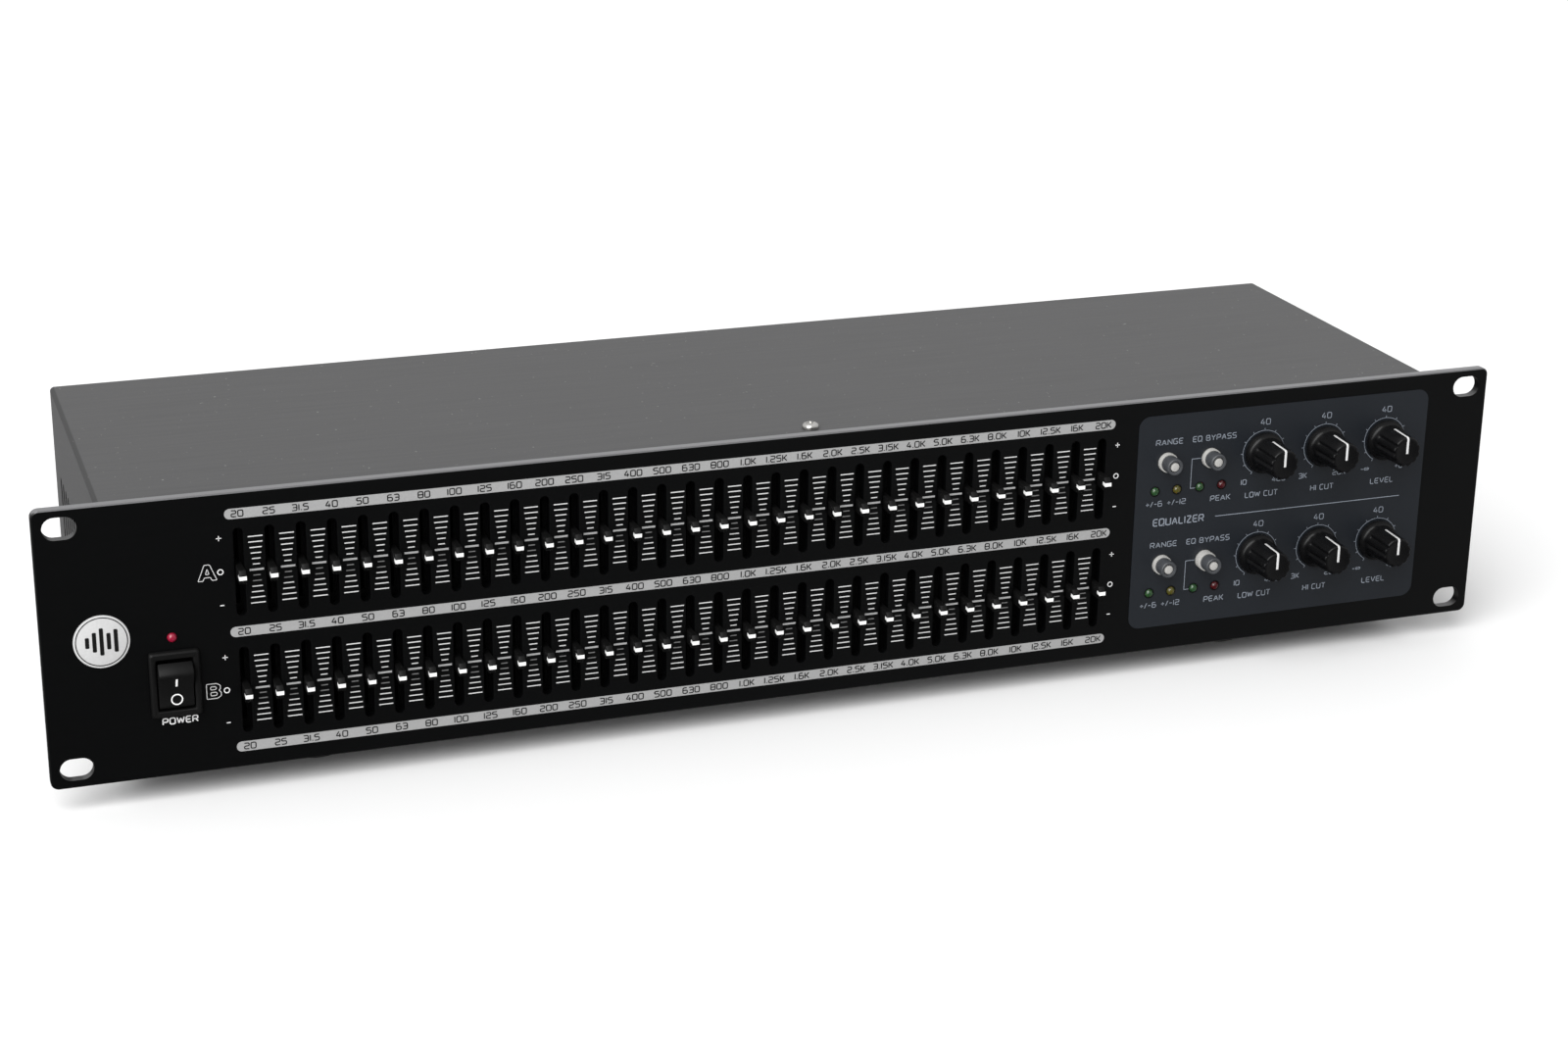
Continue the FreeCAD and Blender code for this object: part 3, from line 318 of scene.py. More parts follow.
def weld(mesh):
    """Join coincident points and turn every face outwards."""
    work = bmesh.new()
    work.from_mesh(mesh)
    bmesh.ops.remove_doubles(work, verts=work.verts, dist=0.0005 * MM)
    bmesh.ops.recalc_face_normals(work, faces=work.faces)
    work.to_mesh(mesh)
    work.free()


# ---- stroke lettering

# Each sign is its width and its strokes, as points in hundredths of the cap height. A stroke that ends where
# it starts is closed.
SIGNS = {
    "0": "78; 0 0, 78 0, 78 100, 0 100, 0 0",
    "1": "6; 3 0, 3 100",
    "2": "74; 0 100, 74 100, 74 50, 0 50, 0 0, 74 0",
    "3": "74; 0 100, 74 100, 74 0, 0 0; 14 50, 74 50",
    "4": "80; 50 100, 0 27, 80 27; 60 60, 60 0",
    "5": "74; 74 100, 0 100, 0 56, 74 56, 74 0, 0 0",
    "6": "76; 66 100, 0 100, 0 0, 76 0, 76 56, 0 56",
    "8": "78; 0 0, 78 0, 78 100, 0 100, 0 0; 0 50, 78 50",
    ".": "8; 4 -3, 4 12",
    "A": "80; 0 0, 40 100, 80 0; 15 32, 65 32",
    "B": "76; 0 50, 70 50, 70 100, 0 100, 0 0, 76 0, 76 47",
    "C": "72; 72 100, 0 100, 0 0, 72 0",
    "E": "68; 68 100, 0 100, 0 0, 68 0; 0 50, 60 50",
    "G": "76; 74 100, 0 100, 0 0, 76 0, 76 48, 40 48",
    "H": "76; 0 0, 0 100; 76 0, 76 100; 0 50, 76 50",
    "I": "6; 3 0, 3 100",
    "K": "72; 0 0, 0 100; 0 50, 22 50, 70 100; 22 50, 72 0",
    "L": "64; 0 100, 0 0, 64 0",
    "M": "90; 0 0, 0 100, 45 30, 90 100, 90 0",
    "N": "76; 0 0, 0 100, 76 0, 76 100",
    "O": "78; 0 0, 78 0, 78 100, 0 100, 0 0",
    "P": "74; 0 0, 0 100, 74 100, 74 42, 0 42",
    "Q": "80; 0 0, 78 0, 78 100, 0 100, 0 0; 50 24, 84 -10",
    "R": "76; 0 0, 0 100, 74 100, 74 44, 0 44; 40 44, 76 0",
    "S": "74; 74 100, 0 100, 0 50, 74 50, 74 0, 0 0",
    "T": "74; 0 100, 74 100; 37 100, 37 0",
    "U": "76; 0 100, 0 0, 76 0, 76 100",
    "V": "78; 0 100, 39 0, 78 100",
    "W": "106; 0 100, 27 0, 53 90, 79 0, 106 100",
    "Y": "78; 0 100, 39 46, 78 100; 39 46, 39 0",
    "Z": "74; 0 100, 74 100, 0 0, 74 0",
    "+": "60; 0 48, 60 48; 30 78, 30 18",
    "-": "50; 0 48, 50 48",
    "/": "42; 0 0, 42 100",
    "~": "96; 0 28, 45 28, 45 68, 0 68, 0 28; 45 28, 96 28, 96 68, 45 68, 45 28",
    " ": "28",
}


def shape_of(sign):
    """A sign's width and strokes, on a cap height of 1."""
    width, *strokes = SIGNS[sign].split(";")
    return int(width) / 100, [[[int(place) / 100 for place in point.split()] for point in stroke.split(",")]
                              for stroke in strokes]


SHAPES = {sign: shape_of(sign) for sign in SIGNS}
SIGN_GAP = 0.30
SIGN_ROUND = 0.24


def letter(form, text, centre, cap_height, stroke, low, high, width=None):
    """Raised lettering centred on a point of the piece's own plane. "~" is the sign for infinity."""
    natural = sum(SHAPES[sign][0] for sign in text) + SIGN_GAP * (len(text) - 1)
    stretch = width / (natural * cap_height) if width else 1.0
    cursor = -natural / 2
    for sign in text:
        advance, strokes = SHAPES[sign]
        for path in strokes:
            closed = path[0] == path[-1]
            shape = softened(path[:-1] if closed else path, SIGN_ROUND, closed)
            points = [(centre[0] + (cursor + x) * cap_height * stretch, centre[1] + (y - 0.5) * cap_height)
                      for x, y in shape]
            form.ribbon(points, stroke, low, high, closed)
        cursor += advance + SIGN_GAP


# ---- materials

class Nodes:
    """A node tree whose nodes are added with short calls."""

    def __init__(self, tree):
        self.tree = tree

    def give(self, socket, value):
        """Give an input a value or the output of a node."""
        if isinstance(value, bpy.types.NodeSocket):
            self.tree.links.new(value, socket)
        else:
            socket.default_value = value

    def node(self, kind, *values, **settings):
        """Add a node with its settings and its first inputs; a setting named in_NAME is one of its inputs."""
        item = self.tree.nodes.new("ShaderNode" + kind)
        for key, value in settings.items():
            if key.startswith("in_"):
                self.give(item.inputs[key[3:].replace("_", " ")], value)
            else:
                setattr(item, key, value)
        for socket, value in zip(item.inputs, values):
            self.give(socket, value)
        return item

    def maths(self, kind, *values):
        """The result of a calculation on numbers or outputs."""
        return self.node("Math", *values, operation=kind).outputs[0]

    def dot(self, first, second):
        """The dot product of two vectors."""
        return self.node("VectorMath", first, second, operation="DOT_PRODUCT").outputs["Value"]

    def part(self, vector, axis):
        """One component of a vector."""
        return self.node("SeparateXYZ", vector).outputs[axis]

    def between(self, value, low, high, start=0.0, end=1.0):
        """A value that goes from start to end, mapped to go from low to high."""
        return self.node("MapRange", value, start, end, low, high).outputs["Result"]

    def mixed(self, share, first, second):
        """A colour between two colours."""
        blend = self.node("Mix", data_type="RGBA")
        self.give(blend.inputs[0], share)
        for socket, value in ((6, first), (7, second)):
            self.give(blend.inputs[socket], (*value, 1.0) if isinstance(value, tuple) else value)
        return blend.outputs[2]


class Paint(Nodes):
    """A procedural material."""

    def __init__(self, name, colour, roughness, metallic=0.0, **inputs):
        self.material = bpy.data.materials.new(name)
        self.material.use_nodes = True
        super().__init__(self.material.node_tree)
        self.set(Base_Color=(*colour, 1.0), Roughness=roughness, Metallic=metallic, **inputs)

    def set(self, **inputs):
        """Give the shader's inputs numbers, colours or the outputs of nodes."""
        for key, value in inputs.items():
            self.give(self.tree.nodes["Principled BSDF"].inputs[key.replace("_", " ")], value)

    def finished(self, colour, roughness, *reliefs):
        """The material, given its colour, roughness and layers of relief: (height, depth in mm, strength)."""
        self.set(Base_Color=colour, Roughness=roughness)
        shape = None
        for height, depth, strength in reliefs:
            layer = self.node("Bump", in_Height=height, in_Distance=depth * MM, in_Strength=strength)
            if shape is not None:
                self.give(layer.inputs["Normal"], shape)
            shape = layer.outputs["Normal"]
        self.set(Normal=shape)
        return self.material

    def coordinates(self, stretch=(1, 1, 1)):
        """Object coordinates in millimetres, stretched per axis."""
        source = self.node("TexCoord").outputs["Object"]
        return self.node("Mapping", source, in_Scale=tuple(s / MM for s in stretch)).outputs["Vector"]

    def noise(self, per_mm, detail=3.0, stretch=(1, 1, 1), rough=0.5, seed=0.0):
        """Noise with a number of features per millimetre."""
        texture = self.node("TexNoise", noise_dimensions="4D", in_Vector=self.coordinates(stretch),
                            in_Scale=per_mm, in_Detail=detail, in_Roughness=rough, in_W=seed)
        return texture.outputs["Fac"]

    def shades(self, share, colour, dark, light):
        """A colour between a darker and a lighter shade of it."""
        return self.mixed(share, tinted(colour, dark), tinted(colour, light))

    def place_mm(self, axis):
        """Where the surface lies along an axis, in millimetres."""
        return self.part(self.coordinates(), axis)

    def normal(self):
        """The direction that the surface faces in the frame."""
        return self.node("NewGeometry").outputs["Normal"]

    def squared(self, value):
        """The square of an output."""
        return self.maths("MULTIPLY", value, value)

    def farther_out(self, limit):
        """1 where the surface is farther than a limit from the middle plane, on either side."""
        return self.maths("GREATER_THAN", self.maths("ABSOLUTE", self.place_mm("X")), limit)

    def edges(self, radius_mm):
        """Nearly 1 on edges within a radius and 0 on flat faces."""
        bevel = self.node("Bevel", samples=4, in_Radius=radius_mm * MM)
        return self.between(self.dot(bevel.outputs["Normal"], self.normal()), 1.0, 0.0, 0.75, 0.99)


def tinted(colour, factor):
    """A colour made lighter or darker."""
    return tuple(min(1.0, channel * factor) for channel in colour)


EAR_INSIDE = 223.5
EDGE_INSIDE = 40.0


def anodised_panel():
    """Black anodised aluminium, brushed along its length, with a painted highlight on the upward faces of its
    upper edge and on the floors of the ear slots.
    """
    black = (0.0009, 0.0010, 0.0011)
    paint = Paint("anodised_panel", black, 0.32, Specular_IOR_Level=0.26)
    lines = paint.noise(1.0, 4.0, (0.035, 1, 9.0), 0.62)
    patches = paint.between(paint.noise(0.02, 2.0), 0.0, 0.4)
    face = paint.mixed(patches, paint.shades(lines, black, 0.4, 2.4), tinted(black, 1.7))
    # Painted highlight: faces that point up, on the upper edge or out in the ears, take a lighter metallic
    # colour as if lit from above.
    high_up = paint.maths("GREATER_THAN", paint.place_mm("Z"), EDGE_INSIDE)
    upward = paint.between(paint.part(paint.normal(), "Z"), 0.0, 1.0, 0.55, 0.9)
    upward_highlight = paint.maths("MULTIPLY", upward, paint.maths("MAXIMUM", paint.farther_out(EAR_INSIDE), high_up))
    highlight_tone = paint.mixed(high_up, (0.11, 0.11, 0.112), (0.30, 0.30, 0.31))
    paint.set(Metallic=paint.maths("MULTIPLY", upward_highlight, 0.8))
    return paint.finished(paint.mixed(upward_highlight, face, highlight_tone), paint.between(lines, 0.26, 0.40),
                          (lines, 0.015, 0.3))


SIDE_INSIDE = 220.7
VENTS_END = 115.0


def case_paint():
    """Dark grey fine-textured powder coat: faint rolling streaks and a little dust, with painted shade on the
    cover's bends and on the walls of the vents.
    """
    grey = (0.053, 0.053, 0.054)
    paint = Paint("case_paint", grey, 0.5)
    grain = paint.noise(3.2, 3.0, rough=0.6)
    streaks = paint.between(paint.noise(0.6, 3.0, (0.04, 1, 1)), 0.0, 0.6, 0.35, 0.65)
    patches = paint.between(paint.noise(0.012, 2.0), 0.0, 0.3)
    dust = paint.between(paint.noise(0.9, 1.0, seed=4.0), 0.0, 0.7, 0.745, 0.77)
    rolled = paint.mixed(streaks, paint.shades(grain, grey, 0.84, 1.18), tinted(grey, 1.32))
    clouded = paint.mixed(patches, rolled, tinted(grey, 1.2))
    facing = {axis: paint.part(paint.normal(), axis) for axis in "XYZ"}
    # Painted shade: where the surface faces slantwise between X and Z, at the cover's bends, it is darkened.
    slant = paint.maths("MULTIPLY", paint.squared(facing["X"]), paint.squared(facing["Z"]))
    bend_shaded = paint.mixed(paint.between(slant, 0.0, 1.0, 0.0, 0.06), clouded, tinted(grey, 0.40))
    # Painted shade: the walls of the side vents, facing along Y, are painted near black and lose their
    # reflections.
    along = paint.between(paint.maths("ABSOLUTE", facing["Y"]), 0.0, 1.0, 0.4, 0.7)
    ahead = paint.maths("LESS_THAN", paint.place_mm("Y"), VENTS_END)
    cut = paint.maths("MULTIPLY", paint.maths("MULTIPLY", paint.farther_out(SIDE_INSIDE), along), ahead)
    paint.set(Specular_IOR_Level=paint.between(cut, 0.5, 0.0))
    return paint.finished(paint.mixed(dust, paint.mixed(cut, bend_shaded, (0.002,) * 3), (0.30, 0.30, 0.29)),
                          paint.between(grain, 0.44, 0.6),
                          (paint.noise(0.9, 2.0), 0.03, 0.5), (grain, 0.012, 0.6))


def overlay_film():
    """Blue-grey printed film with a fine satin grain."""
    slate = (0.0088, 0.0112, 0.0152)
    paint = Paint("overlay_film", slate, 0.42)
    grain = paint.noise(9.0, 2.0)
    patches = paint.between(paint.noise(0.03, 2.0), 0.0, 0.4)
    return paint.finished(paint.mixed(patches, paint.shades(grain, slate, 0.85, 1.15), tinted(slate, 1.3)),
                          paint.between(grain, 0.36, 0.5), (grain, 0.006, 0.5))


def ink(name, colour):
    """Screen-printed ink with a slightly uneven film."""
    paint = Paint(name, colour, 0.45)
    film = paint.noise(1.6, 3.0)
    pores = paint.noise(14.0, 1.0)
    return paint.finished(paint.mixed(paint.between(pores, 0.0, 0.5, 0.55, 0.8),
                                      paint.shades(film, colour, 0.9, 1.06), tinted(colour, 0.75)),
                          paint.between(film, 0.4, 0.55), (pores, 0.004, 0.4))


def moulded(name, colour, roughness=0.42, depth=0.008, wear=0.6, **inputs):
    """Moulded plastic: fine spark-eroded texture, rubbed brighter on its edges."""
    paint = Paint(name, colour, roughness, **inputs)
    grain = paint.noise(6.0, 3.0)
    rubbed = paint.maths("MULTIPLY", paint.edges(0.25), paint.between(grain, 0.2, wear))
    toned = paint.shades(paint.noise(0.35, 2.0), colour, 0.85, 1.15)
    lighter = tuple(min(1.0, channel * 1.4 + 0.008) for channel in colour)
    return paint.finished(paint.mixed(rubbed, toned, lighter),
                          paint.between(grain, roughness - 0.07, roughness + 0.08), (grain, depth, 0.5))


def rubber():
    """Matte black rubber with dust in its pores."""
    black = (0.012, 0.012, 0.012)
    paint = Paint("foot_rubber", black, 0.75, Specular_IOR_Level=0.3)
    pores = paint.noise(4.0, 4.0, rough=0.65)
    return paint.finished(paint.mixed(pores, black, (0.032, 0.031, 0.030)),
                          paint.between(pores, 0.65, 0.85), (pores, 0.03, 0.6))


def metal(name, colour, roughness, stretch=(1, 1, 1)):
    """Plated or rolled metal with fine tool marks."""
    paint = Paint(name, colour, roughness, 1.0)
    marks = paint.noise(5.0, 3.0, stretch)
    toned = paint.shades(paint.noise(0.5, 2.0), colour, 0.88, 1.06)
    return paint.finished(paint.mixed(paint.between(marks, 0.0, 0.5), toned, tinted(colour, 0.8)),
                          paint.between(marks, roughness * 0.75, roughness * 1.3), (marks, 0.006, 0.5))


def lens(name, colour, painted_glow):
    """Coloured epoxy of a lamp that is off: clear skin over a scattering core, with a faint painted glow and
    painted shade towards its rim.
    """
    paint = Paint(name, colour, 0.14, Coat_Weight=0.35, Coat_Roughness=0.12, Subsurface_Weight=0.25,
                  Subsurface_Scale=0.6 * MM, Emission_Color=(*colour, 1.0), Emission_Strength=painted_glow)
    # Painted shade: the colour darkens towards the rim as the surface turns away from the view.
    depth = paint.node("LayerWeight", in_Blend=0.45).outputs["Facing"]
    paint.set(Base_Color=paint.mixed(depth, colour, tinted(colour, 0.6)),
              Roughness=paint.between(paint.noise(2.0, 2.0), 0.1, 0.2))
    return paint.material


def board_laminate():
    """Green solder mask over glass laminate and copper traces."""
    green = (0.012, 0.075, 0.030)
    paint = Paint("board_green", green, 0.35)
    weave = paint.noise(2.5, 1.0)
    traces = paint.node("TexBrick", in_Vector=paint.coordinates(), in_Scale=0.35, in_Mortar_Size=0.03,
                        in_Color1=(*green, 1), in_Color2=(*tinted(green, 1.25), 1),
                        in_Mortar=(*tinted(green, 0.6), 1)).outputs
    return paint.finished(paint.mixed(paint.between(weave, 0.0, 0.3), traces["Color"], tinted(green, 1.6)),
                          paint.between(weave, 0.28, 0.42), (traces["Fac"], 0.03, 0.4))


def winding_tape():
    """Amber insulating tape wound round the transformer."""
    amber = (0.42, 0.24, 0.04)
    paint = Paint("winding_tape", amber, 0.3)
    wraps = paint.node("TexWave", wave_type="BANDS", bands_direction="DIAGONAL", in_Scale=0.08,
                       in_Vector=paint.coordinates(), in_Distortion=2.0, in_Detail=1.0).outputs["Fac"]
    return paint.finished(paint.shades(wraps, amber, 0.7, 1.2), paint.between(wraps, 0.22, 0.4),
                          (wraps, 0.1, 0.5))


INK_TONES = {"scale": 0.31, "white": 0.72, "mark": 0.60, "centre": 0.36, "dim": 0.17, "badge": 0.50,
             "black": 0.001}
INKS = {name: ink(name + "_ink", (tone,) * 3) for name, tone in INK_TONES.items()}
INKS["slate"] = ink("slate_ink", (0.21, 0.235, 0.275))
CAP_BLACK = moulded("cap_black", (0.003, 0.003, 0.003), 0.5, wear=0.3, Specular_IOR_Level=0.2)
CAP_WHITE = moulded("cap_white", (0.84, 0.84, 0.83), 0.35)
KNOB_BLACK = moulded("knob_black", (0.0035, 0.0035, 0.0038), 0.27, wear=0.2, Specular_IOR_Level=0.21)
POINTER_WHITE = moulded("pointer_white", (0.60, 0.60, 0.60), 0.4)
BUTTON_GREY = moulded("button_grey", (0.045, 0.048, 0.053), 0.4, depth=0.01)
BUTTON_WHITE = moulded("button_white", (0.37, 0.365, 0.35), 0.4)
SWITCH_BLACK = moulded("switch_black", (0.0045,) * 3, 0.48, wear=0.25, Specular_IOR_Level=0.16)
SOCKET_BLACK = moulded("socket_black", (0.014, 0.014, 0.015), 0.34)
STEEL = metal("plated_steel", (0.62, 0.61, 0.59), 0.24)
RUBBER = rubber()
CONTACT = metal("contact_silver", (0.70, 0.69, 0.66), 0.25)
# The last number of each lens is its painted glow; the lamps are off.
LENSES = {
    "green": lens("lens_green", (0.020, 0.060, 0.020), 0.01),
    "amber": lens("lens_amber", (0.075, 0.064, 0.010), 0.01),
    "red": lens("lens_red", (0.055, 0.004, 0.006), 0.01),
    "power": lens("lens_power", (0.26, 0.007, 0.030), 0.06),
}
KEPT_NODES = (
    (anodised_panel(), "front_panel"),
    (overlay_film(), "control_overlay"),
    (case_paint(), "top_cover chassis_tray rear_panel"),
    (board_laminate(), "fader_board control_board power_board"),
    (metal("pot_steel", (0.45, 0.45, 0.44), 0.4, (0.3, 1, 3)), "rotary_pots"),
    (SWITCH_BLACK, "fader_pots button_switches"),
    (winding_tape(), "transformer"),
)


def dress_kept_nodes():
    """Give every CAD node that stays in view its material."""
    for material, nodes in KEPT_NODES:
        for node in nodes.split():
            mesh = frame["nodes"][node].data
            mesh.materials.clear()
            mesh.materials.append(material)
            for polygon in mesh.polygons:
                polygon.material_index = 0


# ---- places that several pieces share

PANEL_FACE = -box_mm("control_overlay")[1].y
FILM_FACE = -box_mm("control_overlay")[0].y
REAR_FACE = box_mm("rear_panel")[1].y
INK = 0.04
PANEL_PRINT = (PANEL_FACE - INK, PANEL_FACE + INK)
FILM_PRINT = (FILM_FACE - INK, FILM_FACE + INK)

fader_nodes = sorted((name for name in frame["nodes"] if name.startswith("faders_")),
                     key=lambda name: box_mm(name)[0].x)
knob_nodes = sorted(name for name in frame["nodes"] if "_knob_" in name)
button_nodes = sorted(name for name in frame["nodes"] if "_button_" in name)

BAND_X = [middle(box_mm(name)).x for name in fader_nodes]
BAND_PITCH = BAND_X[1] - BAND_X[0]
lever_b, lever_a = solids_mm(fader_nodes[0])
ROWS = {"A": middle(lever_a).z, "B": middle(lever_b).z}
CONTROL_ROWS = {name[-1].upper(): middle(box_mm(name)).z for name in knob_nodes}
SOCKETS = [pair for pair in solids_mm("audio_sockets") if pair[1].x - pair[0].x > 20]


def column(kind):
    """The X of a kind of control, from its channel A node."""
    return middle(box_mm(kind + "_a")).x


# ---- print on the panel

BAND_NAMES = ("20 25 31.5 40 50 63 80 100 125 160 200 250 315 400 500 630 800 1.0K 1.25K 1.6K 2.0K "
              "2.5K 3.15K 4.0K 5.0K 6.3K 8.0K 10K 12.5K 16K 20K").split()
# Each bar's height on the panel, and how far right of the bands its names are.
BARS = ((37.35, 0.1), (0.0, 0.45), (-37.35, 0.35))
BAR_LEFT = BAND_X[0] - 3.7
BAR_RIGHT = BAND_X[-1] + 4.4
BAR_HEIGHT = 3.25
NAME_HEIGHT = 1.9
NAME_STROKE = 0.34


def make_scale_bars():
    """The three light bars, and the band names printed over them."""
    bars = Form()
    names = Form()
    for rise, offset in BARS:
        centre = ((BAR_LEFT + BAR_RIGHT) / 2, rise)
        outline = rounded(BAR_RIGHT - BAR_LEFT, BAR_HEIGHT, BAR_HEIGHT * 0.49, 8, centre)
        bars.prism(outline, *PANEL_PRINT)
        for x, name in zip(BAND_X, BAND_NAMES):
            letter(names, name, (x + offset, rise), NAME_HEIGHT, NAME_STROKE, PANEL_FACE + INK / 2,
                   PANEL_FACE + 2 * INK)
    bars.piece("scale_bars", [INKS["scale"]])
    names.piece("band_names", [INKS["black"]])


TICK_PITCH = 1.756
TICK_SHIFT = 0.4
TICK_RISE = 0.25
# Half the length of the marks at each distance from the centre mark.
TICK_HALVES = (2.15, 1.05, 1.3, 1.55, 1.8, 2.1, 2.2)
TICK_WIDTH = 0.32
CENTRE_WIDTH = 0.62
DIM_TICKS = (-1, -2)


def make_ticks():
    """Columns of level marks between the faders: a long, thick one at the centre and longer ones outwards."""
    ticks = Form()
    for left in BAND_X[:-1]:
        x = left + BAND_PITCH / 2 + TICK_SHIFT
        for rise in ROWS.values():
            for step in range(1 - len(TICK_HALVES), len(TICK_HALVES)):
                half = TICK_HALVES[abs(step)]
                z = rise + TICK_RISE + step * TICK_PITCH
                width = TICK_WIDTH if step else CENTRE_WIDTH
                shade = 1 if step == 0 else 2 if step in DIM_TICKS else 0
                ticks.ribbon([(x - half, z), (x + half, z)], width, *PANEL_PRINT, paint=shade)
    ticks.piece("level_marks", [INKS["mark"], INKS["centre"], INKS["dim"]])


SIGN_COLUMNS = (BAND_X[0] - 5.7, BAND_X[-1] + 5.55)
SIGN_RISE = 0.55
SIGN_REACH = 10.6
SIGN_SIZE = 0.8
PLUS_STROKE = 0.24
ZERO_STROKE = 0.3
MINUS_HALF = 0.6
# Each channel letter's outlines in a unit square, its width and its height.
OUTLINES = {
    "A": ([[(0, 0), (0.36, 1), (0.64, 1), (1, 0), (0.74, 0), (0.66, 0.2), (0.34, 0.2), (0.26, 0)],
           [(0.4, 0.4), (0.6, 0.4), (0.5, 0.74)]], 5.6, 5.0),
    "B": ([[(0, 0), (0.74, 0), (1, 0.14), (1, 0.4), (0.84, 0.52), (0.96, 0.62), (0.96, 0.86), (0.7, 1),
            (0, 1)],
           [(0.28, 0.2), (0.66, 0.2), (0.74, 0.31), (0.66, 0.42), (0.28, 0.42)],
           [(0.28, 0.6), (0.62, 0.6), (0.70, 0.7), (0.62, 0.8), (0.28, 0.8)]], 4.3, 4.8),
}
OUTLINE_X = BAND_X[0] - 9.6
OUTLINE_RISE = 0.2
OUTLINE_STROKE = 0.20


def make_row_signs():
    """Plus, zero and minus at both ends of each row, and the channel letters in outline."""
    signs = Form()
    for channel, rise in ROWS.items():
        z = rise + SIGN_RISE
        top, bottom = z + SIGN_REACH, z - SIGN_REACH
        for x in SIGN_COLUMNS:
            signs.ribbon([(x, top - SIGN_SIZE), (x, top + SIGN_SIZE)], PLUS_STROKE, *PANEL_PRINT)
            signs.ribbon([(x - SIGN_SIZE, top), (x + SIGN_SIZE, top)], PLUS_STROKE, *PANEL_PRINT)
            signs.ribbon(circle(SIGN_SIZE, 24, (x, z)), ZERO_STROKE, *PANEL_PRINT, True)
            signs.ribbon([(x - MINUS_HALF, bottom), (x + MINUS_HALF, bottom)], ZERO_STROKE, *PANEL_PRINT)
        shapes, width, height = OUTLINES[channel]
        corner = (OUTLINE_X - width / 2, z + OUTLINE_RISE - height / 2)
        for shape in shapes:
            path = softened([(corner[0] + x * width, corner[1] + y * height) for x, y in shape], 0.3, True)
            signs.ribbon(path, OUTLINE_STROKE, *PANEL_PRINT, True, 1)
    signs.piece("row_signs", [INKS["white"], INKS["mark"]])


BADGE_INWARDS = 17.7
BADGE_RISE = 1.8
BADGE_RADIUS = 8.3
BADGE_FACE = PANEL_FACE + 0.30
BADGE_BARS = (3.4, 6.2, 8.6, 5.2, 7.2)
BADGE_BAR_PITCH = 2.1
BADGE_BAR_WIDTH = 1.2
RING_INSET = 0.75
RING_WIDTH = 0.3


def make_badge():
    """A generic round badge: a light disc with a ring and five level bars of different height."""
    badge = Form("front", (box_mm("front_panel")[0].x + BADGE_INWARDS, 0, BADGE_RISE))
    badge.prism(circle(BADGE_RADIUS, 64), PANEL_FACE - INK, BADGE_FACE, 0.14)
    ring = circle(BADGE_RADIUS - RING_INSET, 64)
    badge.ribbon(ring, RING_WIDTH, BADGE_FACE - 0.1, BADGE_FACE + INK, True, 1)
    for index, height in enumerate(BADGE_BARS):
        bar = rounded(BADGE_BAR_WIDTH, height, 0.35, 4, ((index - 2) * BADGE_BAR_PITCH, 0))
        badge.prism(bar, BADGE_FACE - 0.1, BADGE_FACE + INK, 0, 1)
    badge.piece("round_badge", [INKS["badge"], INKS["black"]])


POWER_WIDTH = 10.4
POWER_STROKE = 0.36


def make_power_legend():
    """The word under the power switch."""
    low, high = box_mm("rocker_housing")
    legend = Form()
    place = (middle((low, high)).x + 0.9, low.z - 1.7)
    letter(legend, "POWER", place, NAME_HEIGHT, POWER_STROKE, *PANEL_PRINT, POWER_WIDTH)
    legend.piece("power_legend", [INKS["white"]])


# ---- print on the control film

# Each word or number of a channel, the control it belongs to, how far right of that control and above it it
# lies, its width if that is set, and its height and the width of its strokes if they aren't the usual ones.
FILM_WORDS = (
    ("RANGE", "range_button", 0.3, 7.0, 9.6),
    ("+/-6", "range_button", -4.1, -14.2, 5.8, 1.75, 0.24),
    ("+/-12", "range_button", 4.1, -14.2, 6.6, 1.75, 0.24),
    ("EQ BYPASS", "bypass_button", 0.9, 7.0, 15.8),
    ("PEAK", "bypass_button", 4.4, -14.4, 7.2),
    ("LOW CUT", "low_cut_knob", 0.3, -14.6, 12.0),
    ("10", "low_cut_knob", -6.6, -9.9, None, 1.65),
    ("400", "low_cut_knob", 6.4, -9.9, None, 1.65),
    ("HI CUT", "hi_cut_knob", 0.3, -14.6, 8.5),
    ("3K", "hi_cut_knob", -7.3, -9.9, None, 1.65),
    ("20K", "hi_cut_knob", 6.4, -9.9, None, 1.65),
    ("LEVEL", "level_knob", 0.3, -14.6, 8.6),
    ("-~", "level_knob", -6.6, -9.9, None, 1.65),
    ("+6", "level_knob", 6.4, -9.9, None, 1.65),
)
KNOB_KINDS = ("low_cut_knob", "hi_cut_knob", "level_knob")
SCALE_RADII = (7.6, 8.4)
SCALE_SWEEP = 150
SCALE_TICKS = 11
# The line from a bypass button down to the peak lamp, from the middle of the button.
BYPASS_LINE = ((-3.7, 0.2), (-6.95, 0.2), (-6.95, -10.0), (-5.1, -10.0))
BYPASS_STROKE = 0.22
ARC_STROKE = 0.18
TICK_STROKE = 0.2
# The line and the word between the two channels: how far under their middle, and the line's ends.
MIDDLE_DROP = 2.9
MIDDLE_STROKE = 0.26
MIDDLE_ENDS = (2.95, 7.55)


def print_line(form, path, width):
    """A line on the control film."""
    form.ribbon(path, width, *FILM_PRINT)


def print_word(form, text, centre, width, cap_height=1.75, stroke=0.27):
    """Lettering on the control film."""
    letter(form, text, centre, cap_height, stroke, *FILM_PRINT, width)


def print_knob_scale(form, x, z):
    """The arc and its ticks around one knob, with the number at its middle."""
    start, end = 90 + SCALE_SWEEP, 90 - SCALE_SWEEP
    print_line(form, arc((x, z), SCALE_RADII[0], start, end, 60), ARC_STROKE)
    for step in range(SCALE_TICKS):
        turn = start - 2 * SCALE_SWEEP * step / (SCALE_TICKS - 1)
        print_line(form, [polar(radius, turn, (x, z)) for radius in SCALE_RADII], TICK_STROKE)
    print_word(form, "40", (x, z + 10.6), 3.6, 1.9, 0.25)


